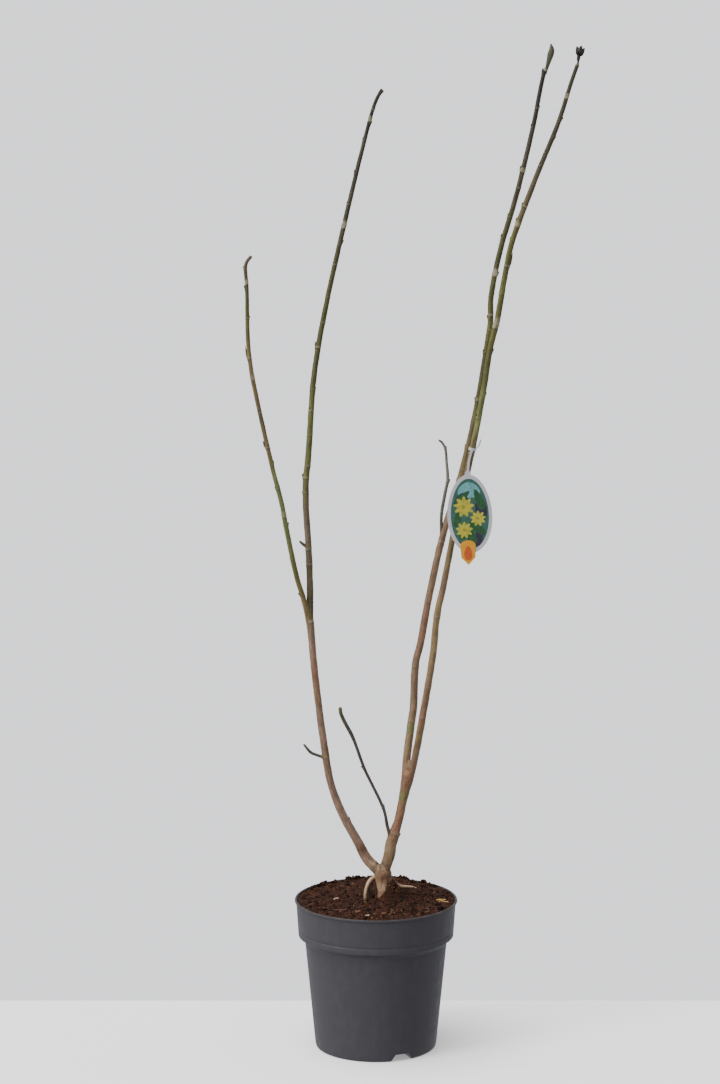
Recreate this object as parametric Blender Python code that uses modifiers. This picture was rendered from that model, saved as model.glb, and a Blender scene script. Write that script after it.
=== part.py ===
# Potted yellow river magnolia, bare in winter, in a ten litre nursery pot.
# Metres, +Z up. The origin is on the pot's axis at its flat underside.
# The front, seen by someone who stands before the plant, looks along +Y.
import math
from dataclasses import dataclass

import bmesh
import bpy
import numpy as np
from mathutils import Matrix, Vector, noise

MM = 0.001
GAP = 0.3 * MM

# Pot: injection moulded, with a stepped rim band over a tapering body.
POT_HEIGHT = 0.2515
RIM_RADIUS = 0.1355
LIP_HEIGHT = 0.0035
LIP_OVERHANG = 0.0016
BAND_TOP_RADIUS = 0.1334
BAND_FOOT_RADIUS = 0.1276
BAND_HEIGHT = 0.0635
SHOULDER_RADIUS = 0.1163
SHOULDER_DROP = 0.0095
BASE_RADIUS = 0.1012
HEEL = 0.004
WALL = 0.0018
FLOOR = 0.0025
GROOVE_ABOVE_BAND_FOOT = 0.0135
GROOVE_WIDTH = 0.0024
GROOVE_DEPTH = 0.0009
POT_SIDES = 56

# Drainage: three arched notches in the heel, each under a hump in the floor, and holes between.
NOTCH_BEARINGS = (-65, 55, 175)
NOTCH_WIDTH = 0.034
NOTCH_HEIGHT = 0.011
NOTCH_INNER_RADIUS = 0.074
DRAIN_RADIUS = 0.005
DRAIN_SIDES = 10
DRAIN_CIRCLE = 0.062
DRAIN_BEARINGS = (-5, 115, 235)

# Compost: fills the pot and heaps up a little round the trunk.
COMPOST_EDGE_BELOW_RIM = 0.0035
COMPOST_HEAP = 0.009
COMPOST_HEAP_PLACE = (0.034, 0.018)
COMPOST_HEAP_REACH = 0.055
COMPOST_RINGS = 9
CLOD = 0.0032
CLOD_SPACING = 0.017

# Limbs: an eight-sided tube with a slightly swollen node at every third ring.
RING_SPACING = 0.021
STEPS_PER_BEND = 24
NODE_EVERY = 3
NODE_SWELLING = 1.09

# The hanging label: an oval card on a strap round the right outer bough.
CARD_WIDTH = 0.0725
CARD_HEIGHT = 0.128
CARD_TAPER = 0.06
CARD_THICKNESS = 0.0009
CARD_LEAN = math.radians(3)
CARD_PLACE = (0.1505, 0.9110)
NECK_WIDTH = 0.0036
TAB_WIDTH = 0.011
TAB_RISE = 0.005
CARD_SIDES = 40
STRAP_HEIGHT = 1.0160
STRAP_RADIUS = 0.0063
STRAP_SIDES = 20
STRAP_WIDTH = 0.0045
BADGE_WIDTH = 0.025
BADGE_HEIGHT = 0.041
BADGE_PLACE = (0.1484, 0.8480)


@dataclass
class Limb:
    """One limb: its bends from foot to tip in metres, and its widths at even steps along it."""
    bends: tuple
    girth: tuple
    buds: tuple = ()
    twig_from: float = 1.0


# A bud is (height up the plant, bearing in degrees, length). Bearing 0 is right, 180 is left.
LIMBS = {
    "trunk": Limb(
        bends=((0.0175, 0, 0.2350), (0.0160, 0, 0.2600), (0.0130, 0, 0.2810), (0.0100, 0, 0.3065)),
        girth=(0.036, 0.029, 0.0250, 0.0245, 0.0272, 0.0315),
    ),
    "left_root": Limb(
        bends=((0.0080, 0.001, 0.2930), (-0.0080, -0.004, 0.2860), (-0.0165, -0.008, 0.2700),
               (-0.0190, -0.012, 0.2430)),
        girth=(0.0062, 0.0044, 0.0036),
    ),
    "right_root": Limb(
        bends=((0.0150, 0.004, 0.2900), (0.0250, 0.015, 0.2820), (0.0400, 0.038, 0.2630),
               (0.0640, 0.058, 0.2540), (0.0860, 0.052, 0.2430)),
        girth=(0.0062, 0.0046, 0.0042, 0.0034),
    ),
    "left_stem": Limb(
        bends=((0.0100, 0, 0.2940), (-0.0142, -0.004, 0.3200), (-0.0318, -0.010, 0.3543),
               (-0.0590, -0.018, 0.4075), (-0.0762, -0.026, 0.4603), (-0.0845, -0.030, 0.5120),
               (-0.0956, -0.035, 0.5971), (-0.1039, -0.037, 0.6777), (-0.1083, -0.037, 0.7340)),
        girth=(0.0180, 0.0134, 0.0113, 0.0109, 0.0104, 0.0114),
        buds=((0.387, 0, 0.006),),
    ),
    "left_outer": Limb(
        bends=((-0.1086, -0.037, 0.7150), (-0.1188, -0.041, 0.7664), (-0.1292, -0.046, 0.8022),
               (-0.1429, -0.062, 0.8707), (-0.1532, -0.076, 0.9301), (-0.1671, -0.088, 0.9887),
               (-0.1913, -0.107, 1.1039), (-0.2001, -0.113, 1.1526), (-0.2043, -0.117, 1.1976),
               (-0.2054, -0.121, 1.2804), (-0.2066, -0.121, 1.3180), (-0.1979, -0.120, 1.3310)),
        girth=(0.0076, 0.0070, 0.0068, 0.0064, 0.0060, 0.0054, 0.0050, 0.0036),
        buds=((0.893, 0, 0.004), (1.038, 180, 0.006), (1.190, 180, 0.006), (1.311, 180, 0.005)),
        twig_from=1.285,
    ),
    "left_inner": Limb(
        bends=((-0.1080, -0.037, 0.7260), (-0.1084, -0.034, 0.7918), (-0.1107, -0.028, 0.8537),
               (-0.1143, -0.018, 0.9049), (-0.1151, -0.008, 0.9529), (-0.1106, 0.004, 1.0006),
               (-0.1032, 0.031, 1.1124), (-0.0944, 0.042, 1.1737), (-0.0779, 0.054, 1.2578),
               (-0.0520, 0.0655, 1.3704), (-0.0244, 0.072, 1.4845), (-0.0021, 0.0745, 1.5652),
               (0.0091, 0.075, 1.5877)),
        girth=(0.0100, 0.0090, 0.0088, 0.0080, 0.0074, 0.0068, 0.0060, 0.0054, 0.0040),
        buds=((0.962, 180, 0.006), (1.172, 190, 0.007), (1.340, 20, 0.005), (1.452, 200, 0.005),
              (1.536, 10, 0.004)),
        twig_from=1.367,
    ),
    "right_stem": Limb(
        bends=((0.0128, 0, 0.2960), (0.0221, 0.002, 0.3255), (0.0250, 0.003, 0.3450),
               (0.0300, 0.004, 0.3610), (0.0362, 0.005, 0.3800), (0.0428, 0.007, 0.4098),
               (0.0497, 0.009, 0.4434), (0.0550, 0.009, 0.4700)),
        girth=(0.0180, 0.0180, 0.0182, 0.0132, 0.0136, 0.0160, 0.0208),
        buds=((0.362, 0, 0.005),),
    ),
    "right_inner": Limb(
        bends=((0.0480, 0.011, 0.4480), (0.0515, 0.015, 0.4931), (0.0569, 0.021, 0.5342),
               (0.0622, 0.027, 0.5754), (0.0656, 0.036, 0.6447), (0.0731, 0.040, 0.6743),
               (0.0884, 0.051, 0.7567), (0.1118, 0.064, 0.8588), (0.1365, 0.072, 0.9397),
               (0.1626, 0.080, 1.0488), (0.1804, 0.087, 1.1526), (0.1881, 0.090, 1.2069),
               (0.1891, 0.093, 1.2462), (0.2041, 0.098, 1.3248), (0.2281, 0.103, 1.4065),
               (0.2557, 0.106, 1.5205), (0.2736, 0.107, 1.6113), (0.2779, 0.107, 1.6210)),
        girth=(0.0120, 0.0118, 0.0110, 0.0102, 0.0092, 0.0086, 0.0082, 0.0078, 0.0070, 0.0058),
        buds=((1.000, 150, 0.005), (1.105, 20, 0.005), (1.213, 175, 0.006), (1.286, 0, 0.005),
              (1.345, 185, 0.005), (1.463, 180, 0.006), (1.612, 180, 0.008)),
        twig_from=1.287,
    ),
    "right_outer": Limb(
        bends=((0.0560, 0.008, 0.4480), (0.0674, 0.000, 0.5084), (0.0763, -0.008, 0.5610),
               (0.0933, -0.025, 0.6737), (0.0990, -0.033, 0.7369), (0.1086, -0.039, 0.7844),
               (0.1312, -0.052, 0.9085), (0.1543, -0.061, 1.0142), (0.1731, -0.067, 1.1202),
               (0.1812, -0.069, 1.1768), (0.1920, -0.071, 1.2219), (0.2059, -0.074, 1.3052),
               (0.2152, -0.077, 1.3499), (0.2492, -0.083, 1.4452), (0.2866, -0.088, 1.5396),
               (0.3059, -0.0895, 1.6021), (0.3160, -0.090, 1.6310)),
        girth=(0.0102, 0.0098, 0.0094, 0.0088, 0.0084, 0.0080, 0.0078, 0.0074, 0.0060, 0.0040),
        buds=((1.175, 5, 0.005), (1.318, 0, 0.007), (1.384, 180, 0.006), (1.408, 175, 0.005),
              (1.545, 0, 0.004)),
        twig_from=1.310,
    ),
    "side_shoot": Limb(
        bends=((0.1095, 0.0635, 0.8470), (0.1079, 0.064, 0.8739), (0.1087, 0.066, 0.8937),
               (0.1146, 0.071, 0.9264), (0.1184, 0.074, 0.9461), (0.1168, 0.079, 0.9755),
               (0.1141, 0.082, 0.9985), (0.1083, 0.084, 1.0082), (0.1034, 0.085, 1.0115)),
        girth=(0.0048, 0.0042, 0.0046, 0.0042, 0.0036, 0.0028),
        buds=((0.944, 0, 0.005),),
    ),
    "low_twig": Limb(
        bends=((0.0255, 0.002, 0.3480), (0.0187, -0.001, 0.3759), (0.0141, -0.005, 0.4008),
               (0.0068, -0.009, 0.4206), (-0.0088, -0.015, 0.4543), (-0.0198, -0.020, 0.4792),
               (-0.0394, -0.032, 0.5343), (-0.0525, -0.038, 0.5609), (-0.0583, -0.042, 0.5819)),
        girth=(0.0052, 0.0042, 0.0040, 0.0042, 0.0040, 0.0046, 0.0042),
        buds=((0.410, 5, 0.004), (0.480, 190, 0.005)),
    ),
    "left_spur": Limb(
        bends=((-0.0820, -0.029, 0.4975), (-0.0975, -0.034, 0.5044), (-0.1073, -0.038, 0.5096),
               (-0.1195, -0.043, 0.5250)),
        girth=(0.0042, 0.0036, 0.0038, 0.0026),
        buds=((0.508, 120, 0.005),),
    ),
    "inner_spur": Limb(
        bends=((-0.1107, -0.028, 0.8500), (-0.1187, -0.031, 0.8550), (-0.1255, -0.033, 0.8611)),
        girth=(0.0044, 0.0036, 0.0026),
        buds=((0.855, 100, 0.008),),
    ),
}

# The fat terminal flower bud of the tall twig, and the dried cluster on the withered one.
TALL_BUD = Limb(
    bends=((0.2762, 0.107, 1.6120), (0.2818, 0.107, 1.6371), (0.2849, 0.107, 1.6530),
           (0.2862, 0.107, 1.6610)),
    girth=(0.0044, 0.0082, 0.0090, 0.0082, 0.0054, 0.0012),
)
BUD_RING_SPACING = 0.009
WITHERED_HEAD = (0.3192, -0.0900, 1.6430)
WITHERED_NECK = (0.3160, -0.0900, 1.6305)
WITHERED_STALK_RADII = (0.0021, 0.0036, 0.0042)
WITHERED_FLAKES = 7
WITHERED_LENGTH = 0.017
WITHERED_WIDTH = 0.0062
WITHERED_LEANS = (18, 35, 52)

BARK_OLD = (0.235, 0.150, 0.095)
BARK_YOUNG = (0.105, 0.078, 0.035)
TWIG_DARK = (0.060, 0.043, 0.022)
ROOT_PALE = (0.420, 0.300, 0.180)
POT_GREY = (0.070, 0.070, 0.078)
COMPOST_BROWN = (0.035, 0.020, 0.012)
CARD_TEAL = (0.110, 0.260, 0.240)
BADGE_YELLOW = (0.700, 0.350, 0.020)


def clear_scene():
    for old in list(bpy.data.objects):
        bpy.data.objects.remove(old, do_unlink=True)


def new_collection(name):
    collection = bpy.data.collections.new(name)
    bpy.context.scene.collection.children.link(collection)
    return collection


def new_object(name, mesh, collection):
    piece = bpy.data.objects.new(name, mesh)
    collection.objects.link(piece)
    return piece


def paint(piece, colour, roughness):
    """Give a piece a Principled material of its own."""
    material = bpy.data.materials.new(piece.name)
    material.use_nodes = True
    shader = material.node_tree.nodes["Principled BSDF"]
    shader.inputs["Base Color"].default_value = (*colour, 1)
    shader.inputs["Roughness"].default_value = roughness
    shader.inputs["Metallic"].default_value = 0
    piece.data.materials.clear()
    piece.data.materials.append(material)


def as_guide(piece):
    piece.hide_render = True
    piece.display_type = "WIRE"
    return piece


def applied(piece, collection):
    """Replace a curve or a piece with modifiers by its evaluated mesh, with caps welded on."""
    bpy.context.view_layer.update()
    evaluated = piece.evaluated_get(bpy.context.evaluated_depsgraph_get())
    mesh = bpy.data.meshes.new_from_object(evaluated)
    welded = bmesh.new()
    welded.from_mesh(mesh)
    bmesh.ops.remove_doubles(welded, verts=welded.verts, dist=0.01 * MM)
    welded.to_mesh(mesh)
    welded.free()
    name = piece.name
    matrix = piece.matrix_world.copy()
    bpy.data.objects.remove(piece, do_unlink=True)
    result = new_object(name, mesh, collection)
    result.matrix_world = matrix
    return result


def boolean(piece, operation, cutter):
    """Add a Boolean of a piece with another object or with a whole collection."""
    modifier = piece.modifiers.new(operation.title(), "BOOLEAN")
    modifier.operation = operation
    modifier.solver = "EXACT"
    if isinstance(cutter, bpy.types.Collection):
        modifier.operand_type = "COLLECTION"
        modifier.collection = cutter
    else:
        modifier.object = cutter


def smooth_path(bends, spacing):
    """Evenly spaced points along a centripetal Catmull-Rom curve through a limb's bends."""
    knots = [Vector(bend) for bend in bends]
    knots = [2 * knots[0] - knots[1]] + knots + [2 * knots[-1] - knots[-2]]
    dense = []
    for p0, p1, p2, p3 in zip(knots, knots[1:], knots[2:], knots[3:]):
        t1 = (p1 - p0).length ** 0.5
        t2 = t1 + (p2 - p1).length ** 0.5
        t3 = t2 + (p3 - p2).length ** 0.5
        for step in range(STEPS_PER_BEND):
            t = t1 + (t2 - t1) * step / STEPS_PER_BEND
            a1 = p0.lerp(p1, t / t1)
            a2 = p1.lerp(p2, (t - t1) / (t2 - t1))
            a3 = p2.lerp(p3, (t - t2) / (t3 - t2))
            b1 = a1.lerp(a2, t / t2)
            b2 = a2.lerp(a3, (t - t1) / (t3 - t1))
            dense.append(b1.lerp(b2, (t - t1) / (t2 - t1)))
    dense.append(knots[-2])
    dense = np.array(dense)
    run = np.concatenate(([0], np.cumsum(np.linalg.norm(np.diff(dense, axis=0), axis=1))))
    count = max(3, round(run[-1] / spacing) + 1)
    even = np.linspace(0, run[-1], count)
    return [Vector(point) for point in np.stack([np.interp(even, run, axis) for axis in dense.T], 1)]


def limb_rings(limb, spacing=RING_SPACING):
    """A limb's ring centres and radii, with every third ring swollen into a node."""
    path = smooth_path(limb.bends, spacing)
    along = np.linspace(0, 1, len(path))
    widths = np.interp(along, np.linspace(0, 1, len(limb.girth)), limb.girth)
    radii = [width / 2 for width in widths]
    for ring in range(NODE_EVERY, len(radii) - 1, NODE_EVERY):
        radii[ring] *= NODE_SWELLING
    return path, radii


def tube(name, path, radii, collection, grow=0):
    """A closed tube along a path. Grown, it is that much fatter and longer at both ends."""
    path = [point.copy() for point in path]
    if grow:
        path[0] += (path[0] - path[1]).normalized() * grow
        path[-1] += (path[-1] - path[-2]).normalized() * grow
    curve = bpy.data.curves.new(name, "CURVE")
    curve.dimensions = "3D"
    curve.bevel_depth = 1
    curve.bevel_resolution = 2
    curve.use_fill_caps = True
    spline = curve.splines.new("POLY")
    spline.points.add(len(path) - 1)
    for point, place, radius in zip(spline.points, path, radii):
        point.co = (*place, 1)
        point.radius = radius + grow
    return applied(new_object(name, curve, collection), collection)


def split_at(path, radii, height):
    """Part a limb square across at its ring nearest a height, with the seat gap between its halves."""
    cut = min(range(len(path)), key=lambda ring: abs(path[ring].z - height))
    start = path[cut] + (path[cut + 1] - path[cut]).normalized() * GAP
    return (path[:cut + 1], radii[:cut + 1]), ([start] + path[cut + 1:], radii[cut:])


def bud_rings(path, radii, height, bearing, length):
    """A small pointed bud that leans out of the limb's side just above a node."""
    seat = min(range(1, len(path)), key=lambda index: abs(path[index].z - height))
    below, above = path[seat - 1], path[seat]
    share = min(1, max(0, (height - below.z) / (above.z - below.z)))
    centre = below.lerp(above, share)
    radius = radii[seat]
    tangent = (above - below).normalized()
    side = Vector((math.cos(math.radians(bearing)), math.sin(math.radians(bearing)), 0))
    side = (side - side.project(tangent)).normalized()
    foot = centre + side * radius * 0.3
    out = centre + side * (radius + length * 0.22) + tangent * length * 0.45
    tip = centre + side * (radius + length * 0.38) + tangent * length
    return [foot, out, tip], [length * 0.24, length * 0.23, length * 0.05]


def join_buds(piece, path, radii, buds, limbs, spare=()):
    """Fuse a limb's buds and other shoots to it with one union."""
    low, high = path[0].z, path[-1].z
    sprigs = new_collection(piece.name + "_sprigs")
    for number, (height, bearing, length) in enumerate(buds):
        if low < height < high:
            tube(f"{piece.name}_bud_{number}", *bud_rings(path, radii, height, bearing, length), sprigs)
    for number, (sprig_path, sprig_radii) in enumerate(spare):
        tube(f"{piece.name}_sprig_{number}", sprig_path, sprig_radii, sprigs)
    if sprigs.objects:
        boolean(piece, "UNION", sprigs)
        piece = applied(piece, limbs)
    for sprig in list(sprigs.objects):
        bpy.data.objects.remove(sprig, do_unlink=True)
    bpy.data.collections.remove(sprigs)
    return piece


def withered_flakes():
    """Dried bud scales that spread from the withered twig's head."""
    head = Vector(WITHERED_HEAD)
    neck = Vector(WITHERED_NECK)
    flakes = [([neck, neck.lerp(head, 0.5), head], list(WITHERED_STALK_RADII))]
    for number in range(WITHERED_FLAKES):
        bearing = number * math.radians(137.5)
        lean = math.radians(WITHERED_LEANS[number % len(WITHERED_LEANS)])
        way = Vector((math.cos(bearing) * math.sin(lean), math.sin(bearing) * math.sin(lean), math.cos(lean)))
        reach = WITHERED_LENGTH * (0.55 + 0.12 * (number % 2))
        start = head - way * 0.004
        flakes.append(([start, head + way * reach * 0.55, head + way * reach],
                       [WITHERED_WIDTH * 0.22, WITHERED_WIDTH * 0.36, WITHERED_WIDTH * 0.16]))
    return flakes


def turned(name, profile, sides, collection):
    """A profile of (radius, height) pairs, run down its outer side, turned about the axis."""
    mesh = bpy.data.meshes.new(name)
    outline = bmesh.new()
    points = [outline.verts.new((radius, 0, height)) for radius, height in profile]
    for point, following in zip(points, points[1:]):
        outline.edges.new((point, following))
    outline.to_mesh(mesh)
    outline.free()
    piece = new_object(name, mesh, collection)
    screw = piece.modifiers.new("Turn", "SCREW")
    screw.steps = sides
    screw.render_steps = sides
    screw.use_merge_vertices = True
    screw.merge_threshold = 0.05 * MM
    return applied(piece, collection)


def body_radius(height):
    """Outer radius of the pot's tapering body at a height."""
    shoulder_foot = POT_HEIGHT - BAND_HEIGHT - SHOULDER_DROP
    return BASE_RADIUS + (SHOULDER_RADIUS - BASE_RADIUS) * height / shoulder_foot


def inner_wall():
    """The pot's inner side from the rim down to the floor, as (radius, height)."""
    band_foot = POT_HEIGHT - BAND_HEIGHT
    shoulder_foot = band_foot - SHOULDER_DROP
    return [
        (RIM_RADIUS - WALL - LIP_OVERHANG, POT_HEIGHT),
        (BAND_TOP_RADIUS - WALL, POT_HEIGHT - LIP_HEIGHT - 0.002),
        (BAND_FOOT_RADIUS - WALL, band_foot + WALL * 0.6),
        (SHOULDER_RADIUS - WALL, shoulder_foot + WALL * 0.6),
        (body_radius(HEEL) - WALL, HEEL + FLOOR),
        (body_radius(0) - WALL - HEEL, FLOOR),
    ]


def outer_wall():
    """The pot's outer side from the rim down to the underside, as (radius, height)."""
    band_top = POT_HEIGHT - LIP_HEIGHT
    band_foot = POT_HEIGHT - BAND_HEIGHT
    shoulder_foot = band_foot - SHOULDER_DROP
    groove = band_foot + GROOVE_ABOVE_BAND_FOOT

    def band_radius(height):
        return BAND_FOOT_RADIUS + (BAND_TOP_RADIUS - BAND_FOOT_RADIUS) * (height - band_foot) / BAND_HEIGHT

    return [
        (RIM_RADIUS - 0.0006, POT_HEIGHT),
        (RIM_RADIUS, POT_HEIGHT - 0.0008),
        (RIM_RADIUS - 0.0002, band_top),
        (band_radius(band_top - 0.001), band_top - 0.001),
        (band_radius(groove), groove + GROOVE_WIDTH / 2),
        (band_radius(groove) - GROOVE_DEPTH, groove),
        (band_radius(groove), groove - GROOVE_WIDTH / 2),
        (BAND_FOOT_RADIUS, band_foot + 0.0012),
        (BAND_FOOT_RADIUS - 0.0011, band_foot),
        (SHOULDER_RADIUS, shoulder_foot),
        (body_radius(HEEL), HEEL),
        (body_radius(0) - HEEL * 0.3, HEEL * 0.3),
        (body_radius(0) - HEEL, 0),
    ]


def block(name, size, centre, bearing, collection):
    """A box whose length points out from the pot's axis on a bearing."""
    mesh = bpy.data.meshes.new(name)
    box = bmesh.new()
    bmesh.ops.create_cube(box, size=1)
    bmesh.ops.scale(box, verts=box.verts, vec=size)
    bmesh.ops.translate(box, verts=box.verts, vec=centre)
    box.to_mesh(mesh)
    box.free()
    piece = new_object(name, mesh, collection)
    piece.rotation_euler.z = math.radians(bearing)
    return piece


def notch_block(name, bearing, grow, collection, outer=BASE_RADIUS + 0.02):
    """The space of one drainage notch, or the hump over it when grown."""
    inner = NOTCH_INNER_RADIUS - grow
    low = -0.01 if grow == 0 else FLOOR / 2
    high = NOTCH_HEIGHT + grow
    size = (outer - inner, NOTCH_WIDTH + 2 * grow, high - low)
    return block(name, size, ((outer + inner) / 2, 0, (high + low) / 2), bearing, collection)


def make_pot(parts, cutters):
    profile = outer_wall() + [(0, 0)] + [(0, FLOOR)] + list(reversed(inner_wall())) + [outer_wall()[0]]
    pot = turned("pot", profile, POT_SIDES, parts)
    humps = new_collection("humps")
    for bearing in NOTCH_BEARINGS:
        reach = body_radius(0) - HEEL / 2
        notch_block(f"hump_{bearing}", bearing, WALL, humps, outer=reach)
    boolean(pot, "UNION", humps)
    pot = applied(pot, parts)
    for hump in list(humps.objects):
        bpy.data.objects.remove(hump, do_unlink=True)
    bpy.data.collections.remove(humps)
    for bearing in NOTCH_BEARINGS:
        boolean(pot, "DIFFERENCE", as_guide(notch_block(f"notch_{bearing}", bearing, 0, cutters)))
    for bearing in DRAIN_BEARINGS:
        boolean(pot, "DIFFERENCE", drain(bearing, cutters))
    paint(pot, POT_GREY, 0.5)


def drain(bearing, cutters):
    """A drainage hole's cutter between two notches."""
    mesh = bpy.data.meshes.new("drain")
    plug = bmesh.new()
    bmesh.ops.create_cone(plug, cap_ends=True, segments=DRAIN_SIDES, radius1=DRAIN_RADIUS,
                          radius2=DRAIN_RADIUS, depth=0.02)
    angle = math.radians(bearing)
    place = (DRAIN_CIRCLE * math.cos(angle), DRAIN_CIRCLE * math.sin(angle), 0)
    bmesh.ops.translate(plug, verts=plug.verts, vec=place)
    plug.to_mesh(mesh)
    plug.free()
    return as_guide(new_object(f"drain_{bearing}", mesh, cutters))


def compost_height(x, y):
    """The compost's surface: level at the rim, heaped round the trunk, with small clods."""
    edge = POT_HEIGHT - COMPOST_EDGE_BELOW_RIM
    away = math.hypot(x - COMPOST_HEAP_PLACE[0], y - COMPOST_HEAP_PLACE[1]) / COMPOST_HEAP_REACH
    heap = COMPOST_HEAP * math.exp(-away ** 2)
    clods = noise.noise(Vector((x, y, 0.7)) / CLOD_SPACING)
    return edge + heap + CLOD * clods


def make_compost(parts, cutters):
    edge = POT_HEIGHT - COMPOST_EDGE_BELOW_RIM
    wall = [(radius - GAP, height) for radius, height in inner_wall()[1:]]
    wall[-1] = (wall[-1][0], FLOOR + GAP)
    wall[-2] = (wall[-2][0], wall[-2][1] + GAP)
    top_radius = BAND_TOP_RADIUS - WALL - GAP - 0.0004
    top = [(top_radius * ring / COMPOST_RINGS, edge) for ring in range(COMPOST_RINGS + 1)]
    profile = top + wall[1:] + [(0, FLOOR + GAP)]
    compost = turned("compost", profile, POT_SIDES, parts)
    for vertex in compost.data.vertices:
        if vertex.co.z > edge - MM:
            vertex.co.z = compost_height(vertex.co.x, vertex.co.y)
    compost.data.update()
    for bearing in NOTCH_BEARINGS:
        hump = notch_block(f"hump_space_{bearing}", bearing, WALL + GAP, cutters)
        boolean(compost, "DIFFERENCE", as_guide(hump))
    for name in ("trunk", "left_root", "right_root"):
        path, radii = limb_rings(LIMBS[name])
        boolean(compost, "DIFFERENCE", as_guide(tube(name + "_pocket", path, radii, cutters, grow=GAP)))
    paint(compost, COMPOST_BROWN, 0.95)


def seat(piece, parents, cutters):
    """Cut a limb's foot to sit the seat gap clear of the limbs it grows from."""
    for parent in parents:
        boolean(piece, "DIFFERENCE", bpy.data.objects[parent + "_space"])


def make_limbs(parts, cutters):
    """The trunk, the stems, the boughs and their last twigs, each a solid of its own."""
    shapes = {}
    for name in ("trunk", "left_stem", "right_stem", "side_shoot", "low_twig", "left_spur", "inner_spur"):
        shapes[name] = limb_rings(LIMBS[name])
    for name in ("left_outer", "left_inner", "right_inner", "right_outer"):
        path, radii = limb_rings(LIMBS[name])
        shapes[name + "_bough"], shapes[name + "_twig"] = split_at(path, radii, LIMBS[name].twig_from)
    for name in ("trunk", "left_stem", "right_stem", "left_inner_bough", "right_inner_bough"):
        as_guide(tube(name + "_space", *shapes[name], cutters, grow=GAP))

    parents = {
        "left_stem": ("trunk", "right_stem"),
        "right_stem": ("trunk",),
        "left_inner_bough": ("left_stem",),
        "left_outer_bough": ("left_stem", "left_inner_bough"),
        "right_inner_bough": ("right_stem",),
        "right_outer_bough": ("right_stem", "right_inner_bough"),
        "side_shoot": ("right_inner_bough",),
        "low_twig": ("right_stem",),
        "left_spur": ("left_stem",),
        "inner_spur": ("left_inner_bough",),
    }
    spare = {
        "trunk": [limb_rings(LIMBS["left_root"]), limb_rings(LIMBS["right_root"])],
        "right_inner_twig": [limb_rings(TALL_BUD, BUD_RING_SPACING)],
        "right_outer_twig": withered_flakes(),
    }
    for name, (path, radii) in shapes.items():
        source = LIMBS.get(name) or LIMBS[name.rsplit("_", 1)[0]]
        piece = tube(name, path, radii, parts)
        piece = join_buds(piece, path, radii, source.buds, parts, spare.get(name, ()))
        seat(piece, parents.get(name, ()), cutters)
        piece.data.shade_smooth()
        colour = BARK_YOUNG
        if name in ("trunk", "left_stem", "right_stem"):
            colour = BARK_OLD
        if name not in ("trunk", "left_stem", "right_stem") and not name.endswith("bough"):
            colour = TWIG_DARK
        paint(piece, colour, 0.8)


def flat_outline(name, outline, thickness, collection):
    """A flat plate from an outline in its own XY plane."""
    curve = bpy.data.curves.new(name, "CURVE")
    curve.dimensions = "2D"
    curve.fill_mode = "BOTH"
    curve.extrude = thickness / 2
    spline = curve.splines.new("POLY")
    spline.points.add(len(outline) - 1)
    spline.use_cyclic_u = True
    for point, (x, y) in zip(spline.points, outline):
        point.co = (x, y, 0, 1)
    return applied(new_object(name, curve, collection), collection)


def strap_place():
    """Where the label's strap goes round the right outer bough, and the bough's direction there."""
    path, _ = limb_rings(LIMBS["right_outer"])
    above = next(ring for ring, point in enumerate(path) if point.z > STRAP_HEIGHT)
    low, high = path[above - 1], path[above]
    return low.lerp(high, (STRAP_HEIGHT - low.z) / (high.z - low.z)), (high - low).normalized()


def card_outline(neck_tip):
    """An egg-shaped card with a small tab at its top, drawn out into the strap's tail."""
    egg = []
    for step in range(2, CARD_SIDES - 1):
        angle = 2 * math.pi * step / CARD_SIDES
        width = CARD_WIDTH * (1 - CARD_TAPER * math.cos(angle))
        egg.append((width / 2 * math.sin(angle), CARD_HEIGHT / 2 * math.cos(angle)))
    tab = CARD_HEIGHT / 2 - MM
    neck = tab + TAB_RISE + 2 * MM
    half = NECK_WIDTH / 2
    tail = [(-half, neck), (neck_tip[0] - half, neck_tip[1]), (neck_tip[0] + half, neck_tip[1]), (half, neck)]
    return [(-TAB_WIDTH / 2, tab)] + tail + [(TAB_WIDTH / 2, tab)] + egg


def badge_outline():
    """A plain plaque: a rounded head over a blunt point."""
    half = BADGE_WIDTH / 2
    head = []
    for step in range(10):
        angle = math.radians(180 - 20 * step)
        head.append((half * math.cos(angle), half * 0.7 * math.sin(angle) + BADGE_HEIGHT * 0.27))
    foot = -BADGE_HEIGHT / 2
    return head + [(half * 0.92, foot * 0.4), (0, foot), (-half * 0.92, foot * 0.4)]


def hang(place, y):
    """The matrix that hangs a flat outline upright at (x, z), leaning with the card."""
    turn = Matrix.Rotation(-CARD_LEAN, 4, "Y") @ Matrix.Rotation(math.pi / 2, 4, "X")
    return Matrix.Translation((place[0], y, place[1])) @ turn


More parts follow.
